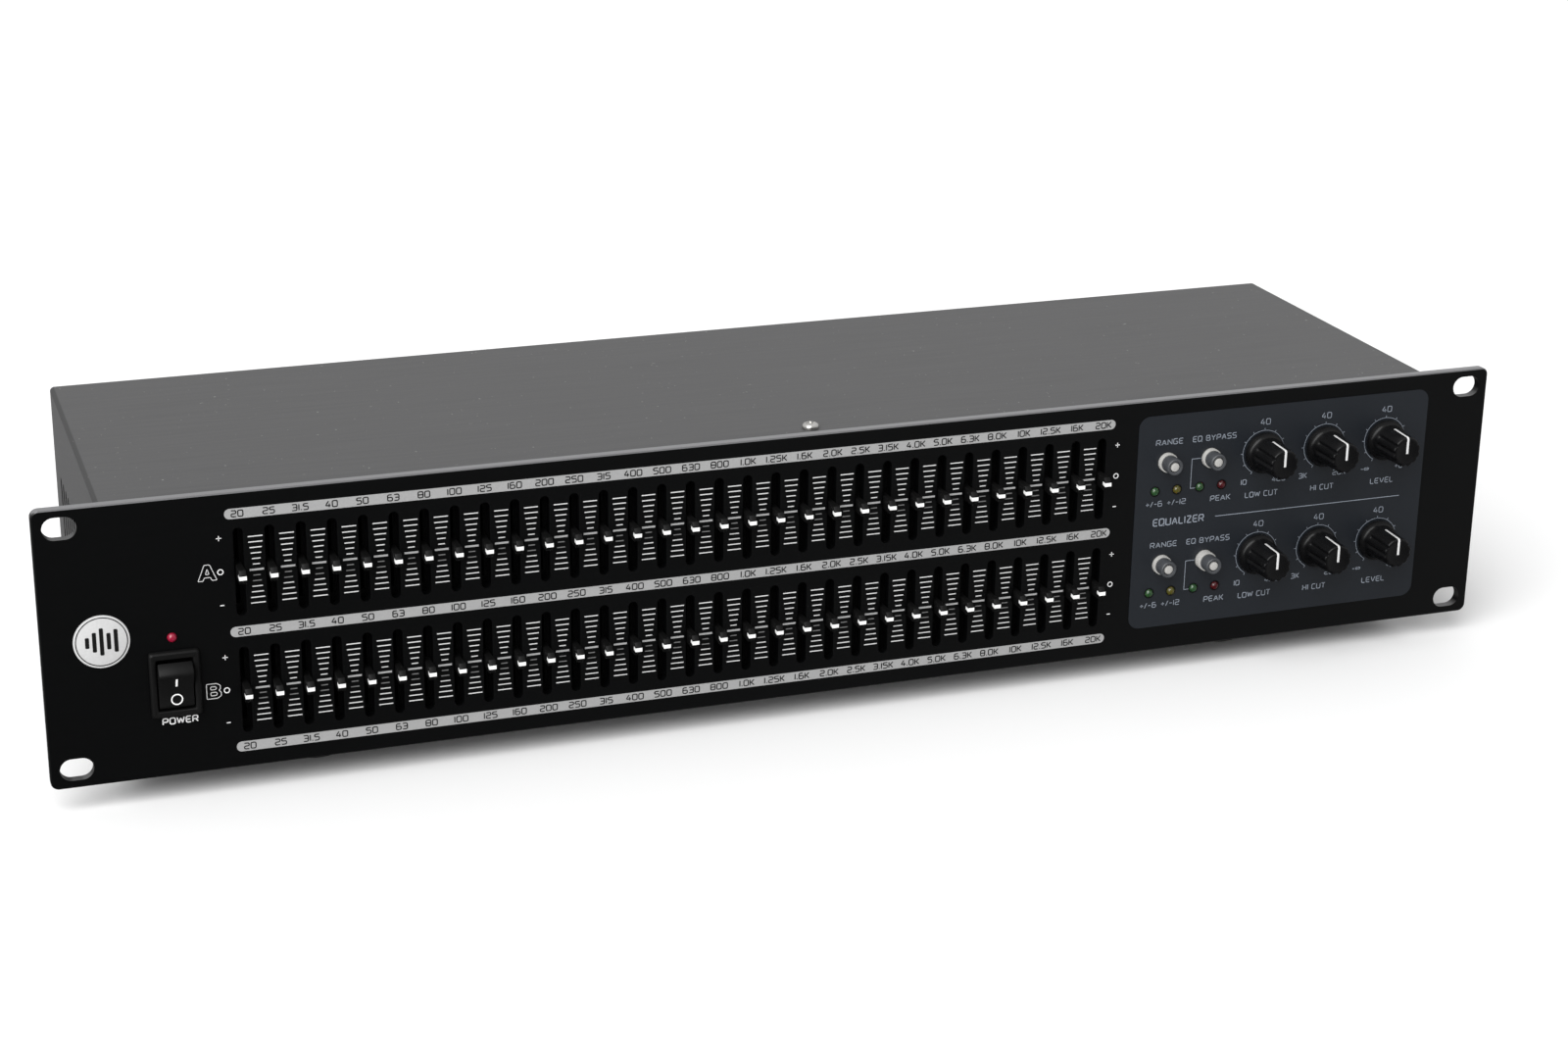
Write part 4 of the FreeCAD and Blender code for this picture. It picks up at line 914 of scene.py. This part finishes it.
def make_film_print():
    """All lines and functional words on the control film."""
    marks = Form()
    bypass_x = column("bypass_button")
    for z in CONTROL_ROWS.values():
        for text, control, right, up, *size in FILM_WORDS:
            print_word(marks, text, (column(control) + right, z + up), *size)
        print_line(marks, [(bypass_x + right, z + up) for right, up in BYPASS_LINE], BYPASS_STROKE)
        for kind in KNOB_KINDS:
            print_knob_scale(marks, column(kind), z)
    z = sum(CONTROL_ROWS.values()) / 2 - MIDDLE_DROP
    ends = (bypass_x + MIDDLE_ENDS[0], column("level_knob") + MIDDLE_ENDS[1])
    print_line(marks, [(x, z) for x in ends], MIDDLE_STROKE)
    print_word(marks, "EQUALIZER", (column("range_button") + 5.3, z), 18.4, 2.3, 0.4)
    marks.piece("film_print", [INKS["slate"]])


# ---- faders

CAP_HALF_WIDTH = 1.07
CAP_LINE_HALF = 0.60
CAP_BACK = 1.0
CAP_EDGE = 0.22
INLAY_BACK = 1.8
INLAY_PROUD = 0.03
LEVER_FRONT = 0.5
# The upper half of a cap from the side, from shoulder to ridge: how far behind the front, and how high.
CAP_PROFILE = ((1.15, 2.2), (0.55, 1.35), (0.08, 0.84))


def add_cap(form, x, z, front):
    """One fader cap: a ridge with a white inlay across it, and sloping shoulders above and below."""
    form.look_from("right", (x, 0, z))
    half = [(CAP_BACK, CAP_PROFILE[0][1] - 0.15)] + [(front + behind, rise) for behind, rise in CAP_PROFILE]
    form.slab(softened(mirrored(half), CAP_EDGE, True, 2), CAP_HALF_WIDTH, CAP_EDGE)
    inlay = [(front + INLAY_BACK, -0.3), (front + INLAY_BACK, CAP_LINE_HALF + 0.1), (front, CAP_LINE_HALF),
             (front, -CAP_LINE_HALF)]
    proud = CAP_HALF_WIDTH + INLAY_PROUD
    form.loft([level(inlay, -proud), level(inlay, proud)], 1)


def make_faders():
    """Both channels' caps and levers of every band."""
    for name, x in zip(fader_nodes, BAND_X):
        low, high = box_mm(name)
        form = Form()
        for z in ROWS.values():
            add_cap(form, x, z, low.y)
            form.look_from("rear", (x, 0, z))
            form.prism(rounded(1.0, 3.0, 0.2, 2), LEVER_FRONT, high.y, 0.15, 2)
        form.piece(name.replace("faders", "fader_levers"), [CAP_BLACK, CAP_WHITE, CONTACT], name)


# ---- knobs

KNOB_STEPS = 144
FLUTE_TURNS = range(60, 301, 30)
FLUTE_HALF = 8.5
FILM_GAP = 0.3
# Rings of a knob, each its radius, the depth of its flutes and its height, or near the top its drop.
KNOB_FOOT = ((6.75, 0, 0), (7.0, 0, 0.2), (7.0, 0, 1.25), (6.9, 0, 1.5), (6.6, 0, 1.66), (6.15, 0, 1.9),
             (5.8, 0, 2.3), (5.6, 0, 2.85), (5.52, 0, 3.4), (5.5, 0.35, 3.8), (5.47, 0.72, 4.4))
KNOB_CROWN = ((5.12, 0.68, 0.75), (5.02, 0.6, 0.4), (4.8, 0.42, 0.18), (4.45, 0.18, 0.08), (3.9, 0, 0.08),
              (3.75, 0, 0.16))
# The pointer's places, each its distance from the knob's axis, its drop from the top, and the direction away
# from the knob; and its section, as places across and outwards.
POINTER_PATH = ((-0.5, 0.08, 0, 1), (4.4, 0.08, 0.1, 1), (4.80, 0.17, 0.45, 0.9), (5.03, 0.38, 0.85, 0.5),
                (5.13, 0.75, 1, 0.15), (5.39, 8.7, 1, 0.04), (5.40, 8.9, 1, -0.1))
POINTER_SECTION = ((-0.38, -0.3), (0.38, -0.3), (0.38, 0.03), (0.31, 0.08), (-0.31, 0.08), (-0.38, 0.03))


def grip_ring(radius, depth, height):
    """A ring of the knob, with a flute every 30 degrees except beside the pointer."""
    ring = []
    for step in range(KNOB_STEPS):
        turn = 360 * step / KNOB_STEPS
        dip = 0.0
        for flute in FLUTE_TURNS:
            away = abs((turn - 90 - flute + 180) % 360 - 180)
            if away < FLUTE_HALF:
                dip = depth * math.cos(math.pi / 2 * away / FLUTE_HALF) ** 0.7
        ring.append((*polar(radius - dip, turn), height))
    return ring


def make_knobs():
    """Six knobs: round skirt, flared neck, fluted grip, white pointer over the face and grip, and shaft."""
    for name in knob_nodes:
        low, high = box_mm(name)
        centre = middle((low, high))
        base = FILM_FACE + FILM_GAP
        height = -low.y - base
        form = Form("front", (centre.x, -base, centre.z))
        crown = [(radius, depth, height - drop) for radius, depth, drop in KNOB_CROWN]
        form.loft([grip_ring(*row) for row in (*KNOB_FOOT, (5.3, 0.72, height * 0.6), *crown)])
        form.loft([[(u, v + out_v * rise, height - drop + out_w * rise) for u, rise in POINTER_SECTION]
                   for v, drop, out_v, out_w in POINTER_PATH], 1)
        form.look_from("rear", (centre.x, 0, centre.z))
        form.lathe([(2.6, -base), (3.0, -base + 0.3), (3.0, high.y - 0.3), (2.7, high.y)], 32, 2)
        form.piece(name.replace("knob", "dial"), [KNOB_BLACK, POINTER_WHITE, CONTACT], name)


# ---- buttons and lamps

SLEEVE = 4.5
BASE_DEPTH = 5.1
BUTTON_BASE = ((3.1, -BASE_DEPTH), (3.3, -BASE_DEPTH + 0.2), (3.3, -0.3), (3.2, -0.08), (3.0, 0), (2.6, 0))
BUTTON_SLEEVE = ((2.78, -0.2), (2.85, 0.3), (2.82, SLEEVE - 0.45), (2.72, SLEEVE - 0.16), (2.5, SLEEVE),
                 (2.2, SLEEVE - 0.02), (1.85, SLEEVE - 0.2), (1.7, SLEEVE - 0.5), (1.66, SLEEVE - 1.2))
BUTTON_CORE = ((1.5, 0.5), (1.5, SLEEVE - 0.42), (1.42, SLEEVE - 0.24), (1.2, SLEEVE - 0.12),
               (0.6, SLEEVE - 0.06))


def make_buttons():
    """Four push buttons: white base, smoky sleeve with a hollow end, white core and square stem."""
    for name in button_nodes:
        low, high = box_mm(name)
        centre = middle((low, high))
        form = Form("front", (centre.x, low.y + SLEEVE, centre.z))
        form.lathe(BUTTON_BASE, 48, 1)
        form.lathe(BUTTON_SLEEVE)
        form.lathe(BUTTON_CORE, 40, 1)
        form.prism(rounded(3.0, 3.0, 0.3, 3), low.y + SLEEVE - high.y, -BASE_DEPTH + 0.2, 0, 1)
        form.piece(name.replace("button", "push_button"), [BUTTON_GREY, BUTTON_WHITE], name)


LAMP_COLUMNS = ("power", "green", "amber", "green", "red")
LAMP_RADIUS = 1.5
LAMP_COLLAR = ((1.8, -1.4), (1.9, -1.3), (1.9, -0.5), (1.8, -0.4), (LAMP_RADIUS, -0.38))
LEG_PLACES = (-1.27, 1.27)
SHADE_RING_RADIUS = 1.66
SHADE_RING_WIDTH = 0.26


def make_lamps():
    """Nine round lamps with collars and legs, and a ring of painted shade on the film round each lamp of the
    channels, over the gap round the lamp.
    """
    tones = list(LENSES)
    solids = solids_mm("indicator_leds")
    columns = sorted({round(middle(pair).x, 1) for pair in solids})
    lamps = Form()
    gap_shades = Form()
    for pair in solids:
        centre = middle(pair)
        tone = LAMP_COLUMNS[columns.index(round(centre.x, 1))]
        shoulder = -pair[0].y - LAMP_RADIUS
        lamps.look_from("front", (centre.x, 0, centre.z))
        side = [*LAMP_COLLAR, (LAMP_RADIUS, shoulder), *arc((0, shoulder), LAMP_RADIUS, 10, 74, 4)]
        lamps.lathe(side, 32, tones.index(tone))
        for across in LEG_PLACES:
            lamps.prism(rounded(0.5, 0.5, 0.05, 1, (across, 0)), -pair[1].y, -1.3, 0, len(tones))
        # Painted shade: a dark ring on the film where the gap round each lamp lies in shade.
        if tone != "power":
            path = circle(SHADE_RING_RADIUS, 32, (centre.x, centre.z))
            gap_shades.ribbon(path, SHADE_RING_WIDTH, FILM_PRINT[0], FILM_FACE + 0.12, True)
    lamps.piece("lamps", [LENSES[tone] for tone in tones] + [CONTACT], "indicator_leds")
    gap_shades.piece("lamp_gap_shade", [SWITCH_BLACK])


# ---- power switch

# Rounded rectangles of the bezel and its cavity: width, height, corner radius and drop behind the front.
BEZEL_RIM = ((15.0, 21.0, 1.0, 0.75), (14.7, 20.7, 0.95, 0.4), (13.9, 19.9, 0.8, 0.04), (13.2, 19.2, 0.75, 0),
             (11.7, 17.0, 0.5, 0.12), (11.25, 16.55, 0.45, 0.3), (11.0, 16.3, 0.4, 0.8))
CAVITY_FLOOR = -4.0


def make_switch_housing():
    """Bezel and housing with the rocker's cavity, and the three terminals behind."""
    whole, *tabs = tallest_first("rocker_housing")
    centre = middle(whole)
    form = Form("front", (centre.x, 0, centre.z))
    front, back = -whole[0].y, -whole[1].y
    outside = ((12.6, 18.4, 0.6, back), (12.8, 18.6, 0.7, back + 0.3), (12.8, 18.6, 0.7, PANEL_FACE),
               (14.9, 20.9, 0.9, PANEL_FACE), (15.0, 21.0, 1.0, PANEL_FACE + 0.2))
    rim = [(*row, front - drop) for *row, drop in BEZEL_RIM]
    form.loft(rectangles((*outside, *rim, (11.0, 16.3, 0.4, CAVITY_FLOOR))))
    for low, high in tabs:
        tab = middle((low, high))
        form.look_from("rear", (tab.x, 0, tab.z))
        form.prism(rounded(high.x - low.x, high.z - low.z, 0.1, 1), low.y, high.y, 0.2, 1)
    form.piece("switch_housing", [SWITCH_BLACK, CONTACT], "rocker_housing", 28)


PIVOT = Vector(next(joint["pos_m"] for joint in frame["joints"] if joint["name"] == "power_switch")) / MM
ROCKER_TIP = 15
PLANE_SLOPE = 15
ROCKER_VALLEY = 3.8
ROCKER_REACH = 5.92
ROCKER_RADIUS = 8.0
ROCKER_BACK = 1.4
ROCKER_WIDTH = 10.4
MARK_PROUD = 0.03
I_ENDS = (1.15, 4.55)
I_STROKE = 0.6
O_RADIUS = 1.6
O_DROP = 3.45
O_STROKE = 0.36


def make_rocker():
    """The rocker with its two planes and its pin, tipped to the off side, and its I and O marks."""
    form = Form("right", PIVOT, Matrix.Rotation(math.radians(ROCKER_TIP), 3, "Z"))
    corner = (-ROCKER_VALLEY - ROCKER_REACH * math.tan(math.radians(PLANE_SLOPE)), -ROCKER_REACH)
    start = math.degrees(math.atan2(ROCKER_REACH, -corner[0])) + PLANE_SLOPE
    end = math.degrees(math.acos(ROCKER_BACK / ROCKER_RADIUS))
    side = [(-x, -y) for x, y in arc((0, 0), ROCKER_RADIUS, start, end, 6)]
    lower = softened([(-ROCKER_VALLEY, 0), corner, side[0]], 1.1, False, 5)[1:-1] + side
    form.slab([(-ROCKER_VALLEY, 0)] + mirrored(lower), ROCKER_WIDTH / 2, 0.4)
    form.loft(rectangles(((4.6, 4.4, 0.4, -4.9), (4.6, 4.4, 0.4, 4.9)), steps=3))
    form.loft(circles(((1.2, -5.9), (1.2, 5.9)), 24))
    v, w = look_along_plane(form, 1)
    form.ribbon([(0, v + end) for end in I_ENDS], I_STROKE, w - 0.1, w + MARK_PROUD, paint=1)
    v, w = look_along_plane(form, -1)
    form.ribbon(circle(O_RADIUS, 40, (0, v - O_DROP)), O_STROKE, w - 0.1, w + MARK_PROUD, True, 1)
    form.piece("rocker", [SWITCH_BLACK, CAP_WHITE], "power_rocker", 30)


def look_along_plane(form, side):
    """Face the rocker's upper (1) or lower (-1) plane, and give the place of the valley between them."""
    tip, slope = math.radians(ROCKER_TIP), math.radians(ROCKER_TIP + PLANE_SLOPE * side)
    form.look_from("front", PIVOT, Matrix.Rotation(slope, 3, "X"))
    return polar(ROCKER_VALLEY, math.degrees(slope - tip))[::-1]


# ---- screws, nuts and feet

RECESS_TURNS = (-45, -34, -24, -13, -5, 5, 13, 24, 34)
# A pan head's rings, as shares of its radius and height; and its recess's rings, as shares of the length and
# width of the arms and of the head's height.
HEAD_RINGS = ((0.96, 0), (1, 0.1), (0.995, 0.42), (0.93, 0.68), (0.8, 0.86), (0.66, 0.95))
RECESS_RINGS = ((1, 1, 1), (0.92, 0.85, 0.9), (0.45, 0.6, 0.3))
SCREW_HEAD = 1.9
NUT_EDGE = 0.25
# The facings along X, Y and Z, each backwards and forwards.
SIDES = (("left", "right"), ("front", "rear"), ("bottom", "top"))


def star(reach):
    """A ring of 36 points, each at the distance that reach gives for its angle from the nearest arm."""
    return [polar(reach(math.radians(abs(offset))), 90 * quarter + offset)
            for quarter in range(4) for offset in RECESS_TURNS]


def add_pan_head(form, radius, height, base=0.0, paint=0):
    """A pan head with a cross recess, on the plane w = base."""
    rings = [level(star(lambda slant: radius * wide), base + height * rise) for wide, rise in HEAD_RINGS]
    for long, wide, rise in RECESS_RINGS:
        length, arm = radius * 0.53 * long, radius * 0.125 * wide
        outline = star(lambda slant: min(length / math.cos(slant), arm / math.sin(slant)))
        rings.append(level(outline, base + height * rise))
    form.loft(rings, paint)


def add_nut(form, low, high):
    """A hexagonal nut with bevelled corners, along Y."""
    centre = middle((low, high))
    form.look_from("rear", (centre.x, 0, centre.z))
    flat = (high.z - low.z) / 2
    hexagon = [polar(flat / math.cos(math.radians(abs(turn % 60 - 30))), turn + 30)
               for turn in range(0, 360, 10)]
    bevelled = [tuple(Vector(point) * min(1.0, flat * 1.04 / Vector(point).length)) for point in hexagon]
    hole = circle(1.52, 36)
    form.loft([level(hole, low.y), level(bevelled, low.y), level(hexagon, low.y + NUT_EDGE),
               level(hexagon, high.y - NUT_EDGE), level(bevelled, high.y), level(hole, high.y),
               level(hole, low.y)], capped=False)


def width_at(points, centre, axis, end):
    """How far from its axis a solid reaches at one end."""
    reach = 0.0
    for point in points:
        if abs(point[axis] - end) < 0.01:
            away = Vector(point) - centre
            away[axis] = 0
            reach = max(reach, away.length)
    return reach


def make_fasteners():
    """Every screw, bolt and nut, each facing the way that its head or flat lies in the frame."""
    form = Form()
    for points in solid_points("case_fasteners"):
        low, high = extent(points)
        centre, size = middle((low, high)), high - low
        axis = min(range(3), key=lambda a: abs(size[(a + 1) % 3] - size[(a + 2) % 3]))
        if abs(size[(axis + 1) % 3] - size[(axis + 2) % 3]) > 0.05:
            add_nut(form, low, high)
            continue
        forwards = width_at(points, centre, axis, high[axis]) > width_at(points, centre, axis, low[axis])
        tip = centre.copy()
        tip[axis] = high[axis] if forwards else low[axis]
        form.look_from(SIDES[axis][forwards], tip)
        add_pan_head(form, size[(axis + 1) % 3] / 2, SCREW_HEAD, -SCREW_HEAD)
        form.lathe([(1.2, -size[axis]), (1.5, 0.4 - size[axis]), (1.5, 0.1 - SCREW_HEAD)], 24)
    form.piece("screws_and_nuts", [STEEL], "case_fasteners")


# The foot's upper part, and its sole and recess as drops from the sole.
FOOT_TOP = [(11.2, 0), (11.5, 0.3), (11.48, 1.2)]
FOOT_SOLE = ((11.0, 2.2), (10.85, 1.3), (10.5, 0.5), (9.9, 0.12), (9.2, 0), (6.2, 0), (5.5, 0.12), (5.1, 0.5),
             (5.0, 1.0), (5.0, 5.8), (4.8, 6.0))


def make_feet():
    """Four rubber feet, rounded at the sole, each with a recess for its screw."""
    form = Form()
    for low, high in solids_mm("rubber_feet"):
        centre = middle((low, high))
        form.look_from("bottom", (centre.x, centre.y, high.z))
        form.lathe(FOOT_TOP + [(radius, high.z - low.z - drop) for radius, drop in FOOT_SOLE], 64)
    form.piece("feet", [RUBBER], "rubber_feet")


# ---- rear connectors

INLET_FLANGE = 2.2
MOUTH_CENTRE = (0, 7.0)
MOUTH_CORNERS = (4.5, 4.5, 1.0, 1.0)
# The mouth's width, height and drop behind the flange's face.
MOUTH = ((25.2, 17.2, 0), (24.6, 16.6, 0.2), (24.4, 16.4, 0.6), (24.4, 16.4, 16.0))


def make_mains_inlet():
    """The mains inlet: flange, recess with three blades, and the fuse drawer."""
    whole, *blades = tallest_first("mains_inlet")
    face = INLET_FLANGE
    form = Form("rear", (middle(whole).x, REAR_FACE, 0))
    back = whole[0].y - REAR_FACE
    outside = rectangles(((26.6, 35.6, 1.0, back), (27, 36, 1.2, back + 0.4), (27, 36, 1.2, 0),
                          (30.8, 41.8, 2.4, 0), (31, 42, 2.5, 0.2), (31, 42, 2.5, face - 0.7),
                          (30.4, 41.4, 2.3, face - 0.2), (29.4, 40.4, 2.0, face)))
    mouth = [(width, height, MOUTH_CORNERS, face - drop) for width, height, drop in MOUTH]
    form.loft(outside + rectangles(mouth, MOUTH_CENTRE))
    form.prism(rounded(24.4, 9.0, 0.6, 4, (0, -11)), face - 1.0, face + 0.9, 0.35)
    form.prism(rounded(7.0, 1.4, 0.4, 4, (0, -13.6)), face, face + 1.2, 0.25)
    for low, high in blades:
        blade = middle((low, high))
        form.look_from("rear", (blade.x, 0, blade.z))
        form.prism(rounded(2.0, 4.0, 0.4, 3), low.y - 0.5, high.y, 0.6, 1)
    form.piece("mains_connector", [SWITCH_BLACK, CONTACT], "mains_inlet")


SOCKET_STEPS = 11
SOCKET_SCREW = (9.6, 12.2)
PIN_CIRCLE = 4.6
# Profiles of (radius, rise over the flange): the shell's rim, then what lies within it, and one contact.
SHELL_RIM = ((11.3, 0), (11.1, 0.6), (10.8, 0.75))
OUTPUT_INSIDE = ((9.0, 0.75), (8.5, 0.5), (8.3, 0), (8.3, -12))
OUTPUT_PIN = ((1.2, -12.2), (1.2, -2.6), (1.05, -2.2), (0.6, -2.0))
INPUT_INSIDE = ((10.0, 0.75), (9.7, 0.5), (9.6, 0), (9.6, -11), (7.9, -11), (7.9, -0.4), (7.6, -0.1),
                (7.2, 0))
INPUT_CONTACT = ((1.8, -0.5), (1.8, 0.15), (1.35, 0.15), (1.3, 0.02))


def make_audio_sockets():
    """Four round connectors on square flanges: two with a sleeve gap and contacts, two with pins."""
    count = 4 * (SOCKET_STEPS + 1)
    form = Form()
    for index, (low, high) in enumerate(SOCKETS):
        x = middle((low, high)).x
        back, flange = low.y - REAR_FACE, high.y - REAR_FACE
        inside, contact = (OUTPUT_INSIDE, OUTPUT_PIN) if index % 2 else (INPUT_INSIDE, INPUT_CONTACT)
        form.look_from("rear", (x, REAR_FACE, 0))
        square = ((25.8, 30.8, 2.4, 0), (26, 31, 2.5, 0.2), (26, 31, 2.5, flange - 0.5),
                  (25.2, 30.2, 2.2, flange))
        form.loft(circles(((11.6, back), (11.8, back + 0.3), (11.8, 0)), count) +
                  rectangles(square, steps=SOCKET_STEPS) +
                  circles([(radius, flange + rise) for radius, rise in SHELL_RIM + inside], count))
        for turn in (90, 210, 330):
            rows = [(radius, flange + rise) for radius, rise in contact]
            form.loft(circles(rows, 20, polar(PIN_CIRCLE, turn)), 1)
        if inside is INPUT_INSIDE:
            form.prism(rounded(6.4, 3.0, 0.8, 4, (0, 12.6)), flange - 0.2, flange + 1.3, 0.3, 1)
        for side in (-1, 1):
            form.look_from("rear", (x + side * SOCKET_SCREW[0], high.y - 0.1, side * SOCKET_SCREW[1]))
            add_pan_head(form, 2.4, 1.4, paint=1)
    form.piece("audio_connectors", [SOCKET_BLACK, CONTACT], "audio_sockets")


LEGEND_HEIGHT = 2.6
LEGEND_STROKE = 0.4
SOCKET_LEGEND_RISE = 21.0
INLET_LEGEND_RISE = 26.5


def make_rear_legends():
    """Functional words beside the rear connectors."""
    form = Form("rear", (0, REAR_FACE, 0))
    places = [(pair, SOCKET_LEGEND_RISE) for pair in SOCKETS] + [(box_mm("mains_inlet"), INLET_LEGEND_RISE)]
    for name, (pair, rise) in zip(("INPUT A", "OUTPUT A", "INPUT B", "OUTPUT B", "MAINS"), places):
        letter(form, name, (-middle(pair).x, rise), LEGEND_HEIGHT, LEGEND_STROKE, -INK, INK)
    form.piece("rear_legends", [INKS["white"]])


# ---- floor, light and camera

FLOOR_HALF = 6.0


def make_floor():
    """A wide pale floor under the feet."""
    mesh = bpy.data.meshes.new("floor")
    signs = ((-1, -1), (1, -1), (1, 1), (-1, 1))
    corners = [(x * FLOOR_HALF, y * FLOOR_HALF, cad_box[0].z) for x, y in signs]
    mesh.from_pydata(corners, [], [(0, 1, 2, 3)])
    paint = Paint("floor_paint", (0.86, 0.86, 0.86), 0.6, Specular_IOR_Level=0.2)
    paint.set(Base_Color=paint.mixed(paint.noise(0.004, 2.0), (0.85, 0.85, 0.85), (0.88, 0.88, 0.88)))
    mesh.materials.append(paint.material)
    floor = placed_object("floor", mesh)
    floor.visible_glossy = False


SKY_DIRECTION = (-0.35, 0.25, 0.90)
SKY_START, SKY_END = -0.45, 0.80
SKY_DARKEST = 0.025
RIGHT_SHEEN = 0.5


def make_world():
    """White to the camera; to the rest, a sky bright above and dark below, with a sheen from the right."""
    world = bpy.data.worlds.new("studio")
    bpy.context.scene.world = world
    world.use_nodes = True
    studio = Nodes(world.node_tree)
    seen = studio.tree.nodes["Background"]
    seen.inputs["Color"].default_value = (1, 1, 1, 1)
    seen.inputs["Strength"].default_value = 1.0
    direction = studio.node("TexCoord").outputs["Generated"]
    ray = studio.node("LightPath").outputs
    sky = studio.between(studio.dot(direction, SKY_DIRECTION), SKY_DARKEST, 1.0, SKY_START, SKY_END)
    rightward = studio.maths("MAXIMUM", studio.part(direction, "X"), 0.0)
    sheen = studio.maths("MULTIPLY", studio.maths("MULTIPLY", rightward, RIGHT_SHEEN), ray["Is Glossy Ray"])
    lit = studio.node("Background", in_Strength=studio.maths("ADD", sky, sheen))
    shown = studio.node("MixShader", ray["Is Camera Ray"], lit.outputs[0], seen.outputs[0])
    studio.give(studio.tree.nodes["World Output"].inputs["Surface"], shown.outputs[0])


def make_light(name, kind, place, strength, size):
    """A soft light that faces the origin: an area of a width in metres, or a sun of a width in degrees."""
    data = bpy.data.lights.new(name, kind)
    data.energy = strength
    if kind == "SUN":
        data.angle = math.radians(size)
    else:
        data.size = size
    light = placed_object(name, data)
    light.location = place
    light.rotation_euler = (-Vector(place)).to_track_quat("-Z", "Y").to_euler()


CAMERA_PLACE = (-0.30119, -0.80703, 0.32637)
# Turns in degrees about Z, X and Z: to the right, down from level, and the roll.
CAMERA_TURNS = ((-18.897, "Z"), (90 - 19.803, "X"), (0.496, "Z"))
CAMERA_LENS = 66.355
CAMERA_SHIFT = (0.02875, -0.00455)


def make_camera():
    """The viewing angle: from the left and above, with a slight roll."""
    data = bpy.data.cameras.new("camera")
    data.sensor_width = 36
    data.lens = CAMERA_LENS
    data.shift_x, data.shift_y = CAMERA_SHIFT
    data.clip_start = 0.01
    camera = placed_object("camera", data)
    place = Matrix.Translation(CAMERA_PLACE)
    for degrees, axis in CAMERA_TURNS:
        place = place @ Matrix.Rotation(math.radians(degrees), 4, axis)
    camera.matrix_world = place
    bpy.context.scene.camera = camera


for make in (dress_kept_nodes, make_scale_bars, make_ticks, make_row_signs, make_badge, make_power_legend,
             make_film_print, make_faders, make_knobs, make_buttons, make_lamps, make_switch_housing,
             make_rocker, make_fasteners, make_feet, make_mains_inlet, make_audio_sockets, make_rear_legends,
             make_floor, make_world, make_camera):
    make()
make_light("key", "SUN", (-0.9, -0.9, 1.4), 2.6, 50)
make_light("fill", "AREA", (-1.4, -1.3, 0.5), 16, 1.2)
bpy.context.scene.view_settings.view_transform = "Standard"
